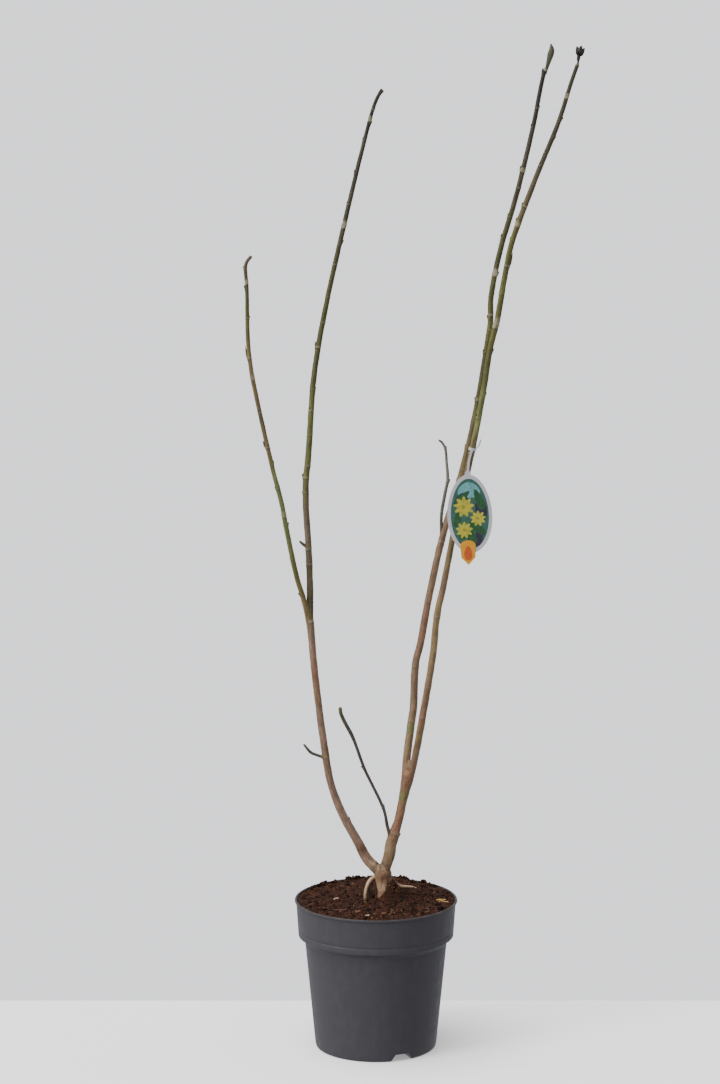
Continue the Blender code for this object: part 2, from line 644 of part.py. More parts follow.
def make_label(parts):
    """The oval card hanging from its strap, and the plaque stuck on its lower edge."""
    centre, along = strap_place()
    inner = STRAP_RADIUS - CARD_THICKNESS
    half = STRAP_WIDTH / 2
    band = [(STRAP_RADIUS, half), (STRAP_RADIUS, -half), (inner, -half), (inner, half), (STRAP_RADIUS, half)]
    strap = turned("strap", band, STRAP_SIDES, parts)
    strap.matrix_world = Matrix.Translation(centre) @ along.to_track_quat("Z", "Y").to_matrix().to_4x4()

    front = centre.y - STRAP_RADIUS + 0.2 * MM
    card_matrix = hang(CARD_PLACE, front)
    neck_tip = card_matrix.inverted() @ Vector((centre.x - 0.001, front, centre.z))
    card = flat_outline("label_card", card_outline(neck_tip), CARD_THICKNESS, parts)
    card.matrix_world = card_matrix
    boolean(card, "UNION", strap)
    card = applied(card, parts)
    bpy.data.objects.remove(strap, do_unlink=True)

    badge = flat_outline("label_badge", badge_outline(), CARD_THICKNESS, parts)
    badge.matrix_world = hang(BADGE_PLACE, front - CARD_THICKNESS - GAP)
    paint(card, CARD_TEAL, 0.35)
    paint(badge, BADGE_YELLOW, 0.4)


def main():
    clear_scene()
    parts = new_collection("potted_yellow_river_magnolia")
    cutters = new_collection("cutters")
    make_pot(parts, cutters)
    make_compost(parts, cutters)
    make_limbs(parts, cutters)
    make_label(parts)


main()
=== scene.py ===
# The looks of a potted yellow river magnolia, bare in winter, in a ten litre nursery pot.
# Metres, +Z up. The origin is on the pot's axis at its flat underside, and the front looks along +Y.
import math
import random
from dataclasses import dataclass, replace
from functools import cache

import bmesh
import bpy
import numpy as np
from mathutils import Euler, Matrix, Vector, kdtree, noise


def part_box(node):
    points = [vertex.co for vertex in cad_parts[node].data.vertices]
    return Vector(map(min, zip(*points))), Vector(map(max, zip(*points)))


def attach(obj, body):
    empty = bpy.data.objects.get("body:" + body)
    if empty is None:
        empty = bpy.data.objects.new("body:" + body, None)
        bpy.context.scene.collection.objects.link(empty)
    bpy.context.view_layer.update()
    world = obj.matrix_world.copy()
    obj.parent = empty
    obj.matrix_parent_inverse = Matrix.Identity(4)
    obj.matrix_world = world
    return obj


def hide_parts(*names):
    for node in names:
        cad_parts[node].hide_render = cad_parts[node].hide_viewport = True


bl_info = {
    "name": "Potted River Magnolia",
    "version": (1, 0, 0),
    "blender": (4, 5, 0),
    "location": "3D View > Sidebar > Magnolia",
    "description": "Makes a bare potted river magnolia with its bark, buds, compost, pot and label",
    "category": "Add Mesh",
}

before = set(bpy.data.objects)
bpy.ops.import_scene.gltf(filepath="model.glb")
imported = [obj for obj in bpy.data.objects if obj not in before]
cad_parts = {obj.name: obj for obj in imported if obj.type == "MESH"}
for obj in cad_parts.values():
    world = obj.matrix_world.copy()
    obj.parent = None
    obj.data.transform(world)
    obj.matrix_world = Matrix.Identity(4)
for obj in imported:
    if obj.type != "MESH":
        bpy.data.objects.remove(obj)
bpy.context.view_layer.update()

MM = 0.001
SEED = 11

# The photograph's view: from far back, pitched down to the pot.
CAMERA_PLACE = (-0.0267, -5.2, 1.70)
CAMERA_PITCH = math.radians(9.24)
CAMERA_LENS = 106.8
SENSOR_WIDTH = 36

# Pot wall, from the rim down. Its full height and radius come from the frame.
POT_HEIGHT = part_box("pot")[1].z
RIM_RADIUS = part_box("pot")[1].x
LIP_HEIGHT = 3.5 * MM
BAND_TOP_RADIUS = 0.1334
BAND_FOOT_RADIUS = 0.1294
BAND_FOOT = POT_HEIGHT - 0.0608
SHOULDER_RADIUS = 0.1186
SHOULDER_FOOT = BAND_FOOT - 0.0095
BASE_RADIUS = 0.1012
HEEL = 4 * MM
WALL = 1.8 * MM
FLOOR = 2.5 * MM
GROOVE_HEIGHT = BAND_FOOT + 0.0108
GROOVE_WIDTH = 3.6 * MM
GROOVE_DEPTH = 0.8 * MM
OVERHANG = 4 * MM

# Drainage notches in the heel and holes in the floor.
NOTCH_BEARINGS = (-65, 55, 175)
NOTCH_HALF_WIDTH = 11.8 * MM
NOTCH_SLANT = 0.64
NOTCH_HEIGHT = 12 * MM
NOTCH_INNER_RADIUS = 0.058
DRAIN_RADIUS = 5 * MM
DRAIN_CIRCLE = 0.062
DRAIN_BEARINGS = (-5, 115, 235)

# Compost: level at the rim, heaped at the plant's foot.
COMPOST_EDGE = POT_HEIGHT - 2.4 * MM
COMPOST_RADIUS = BAND_TOP_RADIUS - WALL - 0.5 * MM
MOUND = (0.0290, -0.008, 0.014, 23 * MM)
HEAPS = ((0.034, 0.018, 0.055, 9 * MM), MOUND, (0.0195, -0.0160, 0.009, 12 * MM), (0.010, 0.118, 0.050, 5 * MM),
         (-0.0020, 0.002, 0.008, -7 * MM))
CLODS = ((19 * MM, 3.4 * MM), (8 * MM, 3.0 * MM), (3.6 * MM, 1.5 * MM))
FOOT_PLACE = (0.0165, 0)
FOOT_RADIUS = 0.015


@dataclass
class Limb:
    """One limb, from foot to tip in metres: its bends, and its widths and skin colours at even steps.

    A bud is (height, bearing, length, width). Bearing 0 is right and 90 is away from the viewer.
    A scar is (height, length of the pale band over it, strength), and a patch is (height, bearing, reach, skin).
    Boughs turn to twigs at twig_from, the forked wood ends at fused_to, and small nodes start at nodes_from.
    The collar is how much a shoot swells at its foot.
    """
    bends: tuple
    girth: tuple
    skin: tuple
    buds: tuple = ()
    scars: tuple = ()
    patches: tuple = ()
    twig_from: float = 9
    fused_to: float = 0
    nodes_from: float = 9
    collar: float = 0


LIMBS = {
    "trunk": Limb(
        bends=((0.0175, 0, 0.2350), (0.0160, 0, 0.2600), (0.0130, 0, 0.2810), (0.0100, 0, 0.3065)),
        girth=(0.036, 0.029, 0.0250, 0.0245, 0.0272, 0.0315),
        skin=("soil", "soil", "foot", "foot", "rosy", "tan"),
        fused_to=9,
        patches=((0.264, 295, 0.018, "soil"), (0.267, 280, 0.007, "soil"), (0.275, 225, 0.010, "fair"),
                 (0.292, 350, 0.005, "soil")),
    ),
    "left_root": Limb(
        bends=((0.0080, 0.001, 0.2930), (-0.0080, -0.004, 0.2860), (-0.0165, -0.008, 0.2700),
               (-0.0190, -0.012, 0.2430)),
        girth=(0.0060, 0.0050, 0.0044, 0.0038),
        skin=("tan", "root", "fair", "moss"),
        fused_to=9,
        # Near-black patches on the root's side toward the trunk: painted shade in the gap between root and trunk.
        patches=((0.278, 10, 0.016, "char"), (0.262, 30, 0.016, "char")),
    ),
    "right_root": Limb(
        bends=((0.0150, 0.004, 0.2900), (0.0250, 0.015, 0.2820), (0.0400, 0.038, 0.2630),
               (0.0640, 0.058, 0.2540), (0.0860, 0.052, 0.2430)),
        girth=(0.0062, 0.0040, 0.0034, 0.0028),
        skin=("rosy", "soil", "root", "root", "soil"),
        fused_to=9,
    ),
    "left_stem": Limb(
        bends=((0.0100, 0, 0.2940), (-0.0142, -0.004, 0.3200), (-0.0318, -0.010, 0.3543),
               (-0.0590, -0.018, 0.4075), (-0.0762, -0.026, 0.4603), (-0.0845, -0.030, 0.5120),
               (-0.0956, -0.035, 0.5971), (-0.1039, -0.037, 0.6777), (-0.1083, -0.037, 0.7340)),
        girth=(0.0180, 0.0134, 0.0113, 0.0109, 0.0104, 0.0114),
        skin=("root", "pink", "pink", "pink", "pink", "tan", "pink", "tan", "rosy", "pink", "russet"),
        buds=((0.387, 0, 0.006, 0.0022),),
        scars=((0.500, 0.002, 0.35), (0.624, 0.002, 0.25), (0.728, 0.009, 0.5)),
        fused_to=9,
        patches=((0.304, 195, 0.007, "umber"), (0.308, 0, 0.004, "char"), (0.340, 330, 0.010, "soil")),
    ),
    "left_outer": Limb(
        bends=((-0.1086, -0.037, 0.7150), (-0.1188, -0.041, 0.7664), (-0.1292, -0.046, 0.8022),
               (-0.1429, -0.062, 0.8707), (-0.1532, -0.076, 0.9301), (-0.1671, -0.088, 0.9887),
               (-0.1913, -0.107, 1.1039), (-0.2001, -0.113, 1.1526), (-0.2043, -0.117, 1.1976),
               (-0.2054, -0.121, 1.2804), (-0.2066, -0.121, 1.3180), (-0.1979, -0.120, 1.3310)),
        girth=(0.0078, 0.0074, 0.0070, 0.0066, 0.0062, 0.0060, 0.0056, 0.0042),
        skin=("straw", "lichen", "moss", "green", "green", "green", "lichen", "russet", "lichen", "lichen", "moss",
              "olive", "umber"),
        buds=((0.775, 180, 0.004, 0.003), (0.893, 0, 0.004, 0.0026), (1.024, 180, 0.012, 0.0032),
              (1.168, 180, 0.022, 0.0026), (1.279, 180, 0.006, 0.0026), (1.311, 180, 0.004, 0.002)),
        scars=((0.906, 0.011, 0.75), (1.022, 0.003, 0.5), (1.133, 0.010, 0.8), (1.168, 0.003, 0.5),
               (1.286, 0.008, 0.9)),
        twig_from=1.285,
        fused_to=0.765,
        nodes_from=0.8,
    ),
    "left_inner": Limb(
        bends=((-0.1080, -0.037, 0.7260), (-0.1084, -0.034, 0.7918), (-0.1107, -0.028, 0.8537),
               (-0.1143, -0.018, 0.9049), (-0.1151, -0.008, 0.9529), (-0.1106, 0.004, 1.0006),
               (-0.1032, 0.031, 1.1124), (-0.0944, 0.042, 1.1737), (-0.0779, 0.054, 1.2578),
               (-0.0520, 0.0655, 1.3704), (-0.0244, 0.072, 1.4845), (-0.0021, 0.0745, 1.5652),
               (0.0091, 0.075, 1.5877)),
        girth=(0.0100, 0.0096, 0.0094, 0.0086, 0.0082, 0.0074, 0.0068, 0.0060, 0.0046),
        skin=("umber", "umber", "russet", "umber", "moss", "moss", "moss", "olive", "olive", "olive", "olive",
              "dusk", "dusk", "dusk", "night", "night"),
        buds=((0.962, 180, 0.007, 0.0032), (1.170, 190, 0.009, 0.003), (1.340, 20, 0.005, 0.0024),
              (1.452, 200, 0.005, 0.0022), (1.533, 10, 0.004, 0.0022), (1.583, 0, 0.005, 0.0026)),
        scars=((0.821, 0.003, 0.4), (0.846, 0.003, 0.5), (0.960, 0.002, 0.5), (1.168, 0.003, 0.5),
               (1.362, 0.014, 0.85), (1.535, 0.010, 0.9)),
        twig_from=1.367,
        fused_to=0.770,
        nodes_from=0.9,
        patches=((0.762, 270, 0.016, "dusk"), (0.813, 0, 0.008, "moss")),
    ),
    "right_stem": Limb(
        bends=((0.0128, 0, 0.2960), (0.0221, 0.002, 0.3255), (0.0250, 0.003, 0.3450),
               (0.0300, 0.004, 0.3610), (0.0362, 0.005, 0.3800), (0.0428, 0.007, 0.4098),
               (0.0497, 0.009, 0.4434), (0.0550, 0.009, 0.4700)),
        girth=(0.0180, 0.0180, 0.0182, 0.0132, 0.0136, 0.0160, 0.0208),
        skin=("tan", "tan", "sand", "rosy", "rosy", "rosy", "lichen", "rosy", "rosy"),
        buds=((0.362, 0, 0.004, 0.003),),
        scars=((0.362, 0.003, 0.35), (0.425, 0.002, 0.2)),
        fused_to=9,
        patches=((0.309, 180, 0.004, "char"), (0.425, 180, 0.006, "green"), (0.363, 10, 0.003, "umber")),
    ),
    "right_inner": Limb(
        bends=((0.0455, 0.009, 0.4260), (0.0484, 0.0115, 0.4530), (0.0515, 0.015, 0.4931), (0.0569, 0.021, 0.5342),
               (0.0622, 0.027, 0.5754), (0.0656, 0.036, 0.6447), (0.0731, 0.040, 0.6743),
               (0.0884, 0.051, 0.7567), (0.1118, 0.064, 0.8588), (0.1365, 0.072, 0.9397),
               (0.1626, 0.080, 1.0488), (0.1804, 0.087, 1.1526), (0.1881, 0.090, 1.2069),
               (0.1891, 0.093, 1.2462), (0.2041, 0.098, 1.3248), (0.2281, 0.103, 1.4065),
               (0.2557, 0.106, 1.5205), (0.2736, 0.107, 1.6113), (0.2779, 0.107, 1.6210)),
        girth=(0.0126, 0.0118, 0.0112, 0.0104, 0.0092, 0.0086, 0.0082, 0.0078, 0.0070, 0.0058),
        skin=("rosy", "sand", "tan", "tan", "rosy", "tan", "tan", "tan", "lichen", "moss", "olive", "moss",
              "olive", "olive", "dusk", "dusk", "night", "night"),
        buds=((1.000, 150, 0.005, 0.0026), (1.078, 180, 0.005, 0.0026), (1.213, 175, 0.006, 0.0026),
              (1.286, 0, 0.005, 0.0026), (1.345, 185, 0.005, 0.0026), (1.455, 180, 0.007, 0.003),
              (1.612, 180, 0.008, 0.003)),
        scars=((0.548, 0.003, 0.3), (0.638, 0.003, 0.4), (0.843, 0.004, 0.4), (0.963, 0.003, 0.3),
               (1.076, 0.005, 0.6), (1.217, 0.004, 0.6), (1.281, 0.014, 0.9), (1.451, 0.007, 0.85),
               (1.616, 0.004, 0.9)),
        twig_from=1.287,
        fused_to=0.536,
        nodes_from=0.9,
        patches=((0.536, 250, 0.008, "green"), (1.030, 270, 0.020, "umber")),
    ),
    "right_outer": Limb(
        bends=((0.0470, 0.008, 0.4260), (0.0564, 0.008, 0.4540), (0.0674, 0.000, 0.5084), (0.0763, -0.008, 0.5610),
               (0.0933, -0.025, 0.6737), (0.0990, -0.033, 0.7369), (0.1086, -0.039, 0.7844),
               (0.1312, -0.052, 0.9085), (0.1543, -0.061, 1.0142), (0.1731, -0.067, 1.1202),
               (0.1812, -0.069, 1.1768), (0.1920, -0.071, 1.2219), (0.2059, -0.074, 1.3052),
               (0.2152, -0.077, 1.3499), (0.2492, -0.083, 1.4452), (0.2866, -0.088, 1.5396),
               (0.3059, -0.0895, 1.6021), (0.3160, -0.090, 1.6310)),
        girth=(0.0108, 0.0108, 0.0102, 0.0092, 0.0088, 0.0084, 0.0084, 0.0080, 0.0070, 0.0050),
        skin=("rosy", "tan", "rosy", "sand", "straw", "tan", "lichen", "lichen", "lichen", "green", "moss", "moss",
              "moss", "moss", "umber", "dusk", "dusk", "dusk"),
        buds=((1.010, 200, 0.005, 0.0026), (1.175, 5, 0.005, 0.0026), (1.312, 0, 0.022, 0.0028),
              (1.382, 180, 0.006, 0.0026), (1.406, 175, 0.006, 0.0028), (1.545, 0, 0.004, 0.002)),
        scars=((0.562, 0.002, 0.3), (0.735, 0.005, 0.5), (0.865, 0.002, 0.3), (1.008, 0.004, 0.4),
               (1.212, 0.020, 0.9), (1.310, 0.003, 0.6), (1.375, 0.007, 0.6), (1.406, 0.003, 0.6),
               (1.577, 0.008, 0.9), (1.627, 0.003, 0.5)),
        twig_from=1.310,
        fused_to=0.536,
        nodes_from=0.9,
        patches=((0.750, 0, 0.007, "green"), (0.528, 280, 0.016, "lichen"), (1.379, 180, 0.004, "scar")),
    ),
    "side_shoot": Limb(
        bends=((0.1095, 0.0635, 0.8470), (0.1079, 0.064, 0.8739), (0.1087, 0.066, 0.8937),
               (0.1146, 0.071, 0.9264), (0.1184, 0.074, 0.9461), (0.1168, 0.079, 0.9755),
               (0.1141, 0.082, 0.9985), (0.1083, 0.084, 1.0082), (0.1034, 0.085, 1.0115)),
        girth=(0.0048, 0.0042, 0.0046, 0.0042, 0.0036, 0.0028),
        skin=("tan", "slate", "slate", "ash", "ash", "ash", "slate"),
        buds=((0.944, 0, 0.005, 0.0024), (0.998, 0, 0.004, 0.002)),
        scars=((0.893, 0.002, 0.4), (0.944, 0.002, 0.4), (0.998, 0.002, 0.4)),
        collar=0.45,
    ),
    "low_twig": Limb(
        bends=((0.0255, 0.002, 0.3480), (0.0187, -0.001, 0.3759), (0.0141, -0.005, 0.4008),
               (0.0068, -0.009, 0.4206), (-0.0088, -0.015, 0.4543), (-0.0198, -0.020, 0.4792),
               (-0.0388, -0.032, 0.5343), (-0.0534, -0.038, 0.5640), (-0.0584, -0.042, 0.5780),
               (-0.0592, -0.043, 0.5872)),
        girth=(0.0052, 0.0042, 0.0040, 0.0042, 0.0042, 0.0052, 0.0052),
        skin=("sand", "twiggy", "twiggy", "twiggy", "twiggy", "twiggy", "twiggy", "moss"),
        buds=((0.410, 5, 0.004, 0.002), (0.480, 190, 0.005, 0.0022)),
        scars=((0.410, 0.002, 0.35), (0.480, 0.002, 0.35), (0.545, 0.002, 0.35)),
        fused_to=0.3600,
        collar=0.45,
    ),
    "left_spur": Limb(
        bends=((-0.0820, -0.029, 0.4975), (-0.0975, -0.034, 0.5044), (-0.1073, -0.038, 0.5096),
               (-0.1195, -0.043, 0.5250)),
        girth=(0.0042, 0.0036, 0.0038, 0.0026),
        skin=("tan", "slate", "slate", "ash"),
        buds=((0.508, 120, 0.005, 0.0022),),
        scars=((0.5085, 0.002, 0.3),),
        fused_to=0.5025,
        collar=0.45,
    ),
    "inner_spur": Limb(
        bends=((-0.1107, -0.028, 0.8500), (-0.1187, -0.031, 0.8550), (-0.1255, -0.033, 0.8611)),
        girth=(0.0044, 0.0036, 0.0026),
        skin=("tan", "umber", "slate"),
        buds=((0.855, 100, 0.008, 0.0024),),
        collar=0.45,
    ),
}

# The fat terminal flower bud of the tall twig, and the dried cluster that ends the withered one.
TALL_BUD = ((0.2758, 0.107, 1.6110), (0.2783, 0.107, 1.6205), (0.2836, 0.107, 1.6396), (0.2860, 0.107, 1.6500),
            (0.2848, 0.107, 1.6600))
TALL_BUD_GIRTH = (0.0046, 0.0048, 0.0058, 0.0068, 0.0082, 0.0098, 0.0108, 0.0096, 0.0064, 0.0020)
WITHERED_NECK = (0.3160, -0.0900, 1.6305)
WITHERED_HEAD = (0.3172, -0.0900, 1.6462)
WITHERED_TURN = Matrix.Rotation(math.radians(14), 4, "Y")
WITHERED_FLAKES = 19
WITHERED_LENGTH = 25 * MM
WITHERED_WIDTH = 7 * MM

# Forks whose creases are smoothed, as (place, reach).
FORKS = (
    ((0.0100, 0, 0.3040), 0.024),
    ((-0.1083, -0.037, 0.7400), 0.020),
    ((0.0575, 0.008, 0.4800), 0.022),
    ((0.0245, 0.002, 0.3540), 0.010),
    ((-0.0870, -0.030, 0.4995), 0.008),
)
# Lumps at the trunk's fork, as (place, width).
KNUCKLES = (((0.0085, -0.0050, 0.2990), 15 * MM), ((0.0085, -0.0015, 0.3075), 5 * MM),
            ((0.0565, 0.0085, 0.4740), 14 * MM), ((0.0582, 0.0080, 0.4820), 8 * MM))

ROOTLETS = 16

RING_SPACING = 1 * MM
LIMB_SIDES = 24
LOWER_SIDES = 32
FORK_VOXEL = 0.9 * MM
FORK_SMOOTHINGS = 14
STUB_RINGS = 6
STUB_TAPER = 0.86
STEPS_PER_BEND = 24
RIDGE_LENGTH = 22 * MM
RIDGE_SHARE = 0.09
WRINKLE_LENGTH = 7 * MM
WRINKLE_SHARE = 0.04
COLLAR_LENGTH = 6 * MM
BARK_PROUD = 0.5 * MM
SCAR_REACH = 8 * MM
SCAR_TILT = 0.7 * MM
NODE_GAP = 42 * MM
NODE_CLEAR = 16 * MM
BUD_RINGS = 10
BUD_SIDES = 12
BUD_STEPS = (0, 0.12, 0.35, 0.6, 0.85, 1)
BUD_PROFILE = (0.55, 0.95, 1.0, 0.82, 0.45, 0.08)

POT_SIDES = 240
COMPOST_RINGS = 64
COMPOST_SIDES = 200
EDGE_SETTLING = 0.4 * MM
BACK_CRUMBS = 110
BACK_CRUMBS_BEHIND = 0.04
MOUND_CRUMBS = 160

# Tones of the litter, and how often each comes.
CRUMB_TONES = (("black", "#0e0806", "#190e0a"), ("brown", "#1f110a", "#2f1a11"), ("red", "#2f1a12", "#45281b"),
               ("tan", "#442d21", "#5c4231"))
CRUMB_SHARES = (36, 38, 20, 6)
CHIP_TONES = (("dark", "#20110a", "#341d13"), ("red", "#351e16", "#4b2d21"), ("orange", "#4b2f20", "#664733"),
              ("pale", "#7a604e", "#a08670"))
CHIP_SHARES = (54, 37, 8, 1)
FIBRE_TONES = (("dark", "#2c1a11", "#4a2e1e"), ("red", "#5c3622", "#7c4c30"), ("straw", "#b08a4a", "#d2b070"))
FRONT_CHIPS_BEHIND = -0.04

# The large bits in view: (x, y, length, width, bearing, tone), and straws without a tone.
LARGE_CHIPS = (
    (-0.066, 0.004, 8 * MM, 4.5 * MM, 20, 3),
    (-0.015, -0.105, 7 * MM, 4 * MM, 10, 3),
    (0.032, -0.126, 9 * MM, 3.5 * MM, -10, 3),
    (-0.060, -0.066, 22 * MM, 4.5 * MM, -8, 1),
    (-0.030, -0.080, 9 * MM, 5 * MM, 35, 2),
    (0.012, -0.090, 8 * MM, 5 * MM, -30, 2),
)
STRAWS = ((0.104, -0.010, 26 * MM, 1.6 * MM, 10), (0.112, -0.022, 16 * MM, 1.2 * MM, -25))

# Hanging label, its strap and its plaque.
CARD_WIDTH = 0.0725
CARD_HEIGHT = 0.128
CARD_TAPER = 0.06
CARD_THICKNESS = 0.9 * MM
CARD_LEAN = math.radians(3)
CARD_PLACE = (0.1505, 0.9110)
PRINT_LAYER = 0.05 * MM
NECK_WIDTH = 3.6 * MM
STRAP_HEIGHT = 1.0160
STRAP_RADIUS = 6.3 * MM
STRAP_WIDTH = 4.5 * MM
BADGE_WIDTH = 0.025
BADGE_HEIGHT = 0.041
BADGE_PLACE = (0.1484, 0.8480)

# The generic print: patches and leaves as (x, y, bearing, length, width), blossoms as (x, y, width).
DUSK_PATCHES = ((-0.016, 0.006, 75, 0.030, 0.022), (0.020, -0.012, 95, 0.042, 0.018), (0.004, -0.052, 60, 0.026, 0.018))
PRINTED_LEAVES = ((-0.024, -0.020, 70, 0.034, 0.011), (-0.018, -0.040, 40, 0.034, 0.013), (0.006, -0.050, 110, 0.036, 0.014),
                  (0.022, 0.006, 110, 0.036, 0.012), (0.024, -0.034, 140, 0.034, 0.012), (-0.022, 0.018, 40, 0.030, 0.010))
BLOSSOMS = ((-0.009, 0.012, 0.034), (0.013, -0.008, 0.026), (-0.010, -0.026, 0.028))

# Stage.
FLOOR_REACH = 6
LIGHT_SIZE = 2.2
AMBIENT_STRENGTH = 1.15
BACKDROP_STRENGTH = 1.9
KEY_PLACE = (-4.7, -2.9, 2.6)
FILL_PLACE = (3.4, -3.4, 1.6)
TOP_PLACE = (-1.3, -0.6, 5)
TOP_SPREAD = math.radians(50)
LIGHT_AIM = (0, 0, 0.6)

# Which limb each piece is part of, and the record's slot of its finish.
STRETCHES = (
    ("left_outer_bough", "left_outer", "young_bark"),
    ("left_inner_bough", "left_inner", "young_bark"),
    ("right_inner_bough", "right_inner", "young_bark"),
    ("right_outer_bough", "right_outer", "young_bark"),
    ("left_outer_twig", "left_outer", "twig"),
    ("left_inner_twig", "left_inner", "twig"),
    ("right_inner_twig", "right_inner", "twig"),
    ("right_outer_twig", "right_outer", "twig"),
    ("side_shoot", "side_shoot", "twig"),
    ("low_twig", "low_twig", "twig"),
    ("left_spur", "left_spur", "twig"),
    ("inner_spur", "inner_spur", "twig"),
)


def linear(hex_colour):
    """An sRGB hex colour as the linear colour that a shader takes."""
    channels = [int(hex_colour[place:place + 2], 16) / 255 for place in (1, 3, 5)]
    return (*[c / 12.92 if c <= 0.04045 else ((c + 0.055) / 1.055) ** 2.4 for c in channels], 1)


# Skin colours of the bark, by where they show.
SKINS = {name: np.array(linear(colour)) for name, colour in {
    "soil": "#50341f",
    "foot": "#7a5a42",
    "fair": "#a3866b",
    "tan": "#654f39",
    "sand": "#715c41",
    "rosy": "#6a4a35",
    "root": "#b99b7c",
    "lichen": "#5f502d",
    "green": "#5a6033",
    "moss": "#474618",
    "olive": "#373710",
    "umber": "#4b3f29",
    "russet": "#4d4231",
    "dusk": "#302b15",
    "night": "#1d190d",
    "ash": "#555049",
    "slate": "#464238",
    "scar": "#857c63",
    "bud": "#2e261b",
    "silk": "#2c2d1f",
    "pink": "#745b4b",
    "straw": "#725f3c",
    "twiggy": "#3e3632",
    "clay": "#5e4430",
    "char": "#17130e",
}.items()}


def colour_setting(name, description, colour):
    return bpy.props.FloatVectorProperty(name=name, description=description, subtype="COLOR", size=4, min=0, max=1,
                                         default=linear(colour))


class MagnoliaColours(bpy.types.PropertyGroup):
    """Base colours that a user may change"""
    pot: colour_setting("Pot", "Grey of the moulded pot", "#38373b")
    compost: colour_setting("Compost", "Dark brown of the moist compost", "#38241a")
    border: colour_setting("Label border", "Milky edge of the label", "#9d9ba0")
    plaque: colour_setting("Plaque", "Yellow of the small plaque", "#b37a06")
    backdrop: colour_setting("Backdrop", "Pale grey all round the plant", "#dfe0e4")
    floor: colour_setting("Floor", "Pale grey of the floor", "#dcdcdc")


class MagnoliaSizes(bpy.types.PropertyGroup):
    """Sizes and counts that a user may change"""
    crumbs: bpy.props.IntProperty(name="Crumbs", description="Loose crumbs on the compost", default=2600, min=0)
    chips: bpy.props.IntProperty(name="Chips", description="Bark chips on the compost", default=420, min=0)
    fibres: bpy.props.IntProperty(name="Fibres", description="Coir fibres on the compost", default=320, min=0)
    key_power: bpy.props.FloatProperty(name="Key light", description="Power of the light at the left", default=330,
                                       unit="POWER")
    fill_power: bpy.props.FloatProperty(name="Fill light", description="Power of the light at the right", default=2,
                                        unit="POWER")
    top_strength: bpy.props.FloatProperty(name="Top light", description="Strength of the even light from above",
                                          default=4.0)
    floor_back: bpy.props.FloatProperty(name="Floor's back edge", description="How far the floor goes behind the pot",
                                        default=0.24, unit="LENGTH")


@dataclass
class Rings:
    """A limb's rings: centres, two directions square to it, radii, run from the foot and skin colours."""
    path: np.ndarray
    right: np.ndarray
    away: np.ndarray
    radii: np.ndarray
    run: np.ndarray
    skin: np.ndarray
    shift: float = 0
    scars: tuple = ()
    buds: tuple = ()
    patches: tuple = ()


def smooth_path(bends, spacing):
    """Evenly spaced points along a centripetal Catmull-Rom curve through a limb's bends."""
    knots = [Vector(bend) for bend in bends]
    knots = [2 * knots[0] - knots[1]] + knots + [2 * knots[-1] - knots[-2]]
    dense = []
    for p0, p1, p2, p3 in zip(knots, knots[1:], knots[2:], knots[3:]):
        t1 = (p1 - p0).length ** 0.5
        t2 = t1 + (p2 - p1).length ** 0.5
        t3 = t2 + (p3 - p2).length ** 0.5
        for step in range(STEPS_PER_BEND):
            t = t1 + (t2 - t1) * step / STEPS_PER_BEND
            a1 = p0.lerp(p1, t / t1)
            a2 = p1.lerp(p2, (t - t1) / (t2 - t1))
            a3 = p2.lerp(p3, (t - t2) / (t3 - t2))
            b1 = a1.lerp(a2, t / t2)
            b2 = a2.lerp(a3, (t - t1) / (t3 - t1))
            dense.append(b1.lerp(b2, (t - t1) / (t2 - t1)))
    dense.append(knots[-2])
    dense = np.array(dense)
    run = run_along(dense)
    even = np.linspace(0, run[-1], max(4, round(run[-1] / spacing) + 1))
    return np.stack([np.interp(even, run, axis) for axis in dense.T], 1)


def run_along(path):
    return np.concatenate(([0], np.cumsum(np.linalg.norm(np.diff(path, axis=0), axis=1))))


def trace(path, girth, tones):
    """Rings along a path, with widths and named skin colours at even steps. They are turned as little as can be."""
    ways = np.gradient(path, axis=0)
    ways /= np.linalg.norm(ways, axis=1)[:, None]
    right = np.zeros_like(path)
    start = np.cross((0, 1, 0), ways[0])
    right[0] = start / np.linalg.norm(start)
    for ring in range(1, len(path)):
        turned = right[ring - 1] - ways[ring] * np.dot(right[ring - 1], ways[ring])
        right[ring] = turned / np.linalg.norm(turned)
    run = run_along(path)
    share = run / run[-1]
    radii = np.interp(share, np.linspace(0, 1, len(girth)), girth) / 2
    colours = np.array([SKINS[tone] for tone in tones])
    skin = np.stack([np.interp(share, np.linspace(0, 1, len(colours)), channel) for channel in colours.T], 1)
    return Rings(path, right, np.cross(ways, right), radii, run, skin)


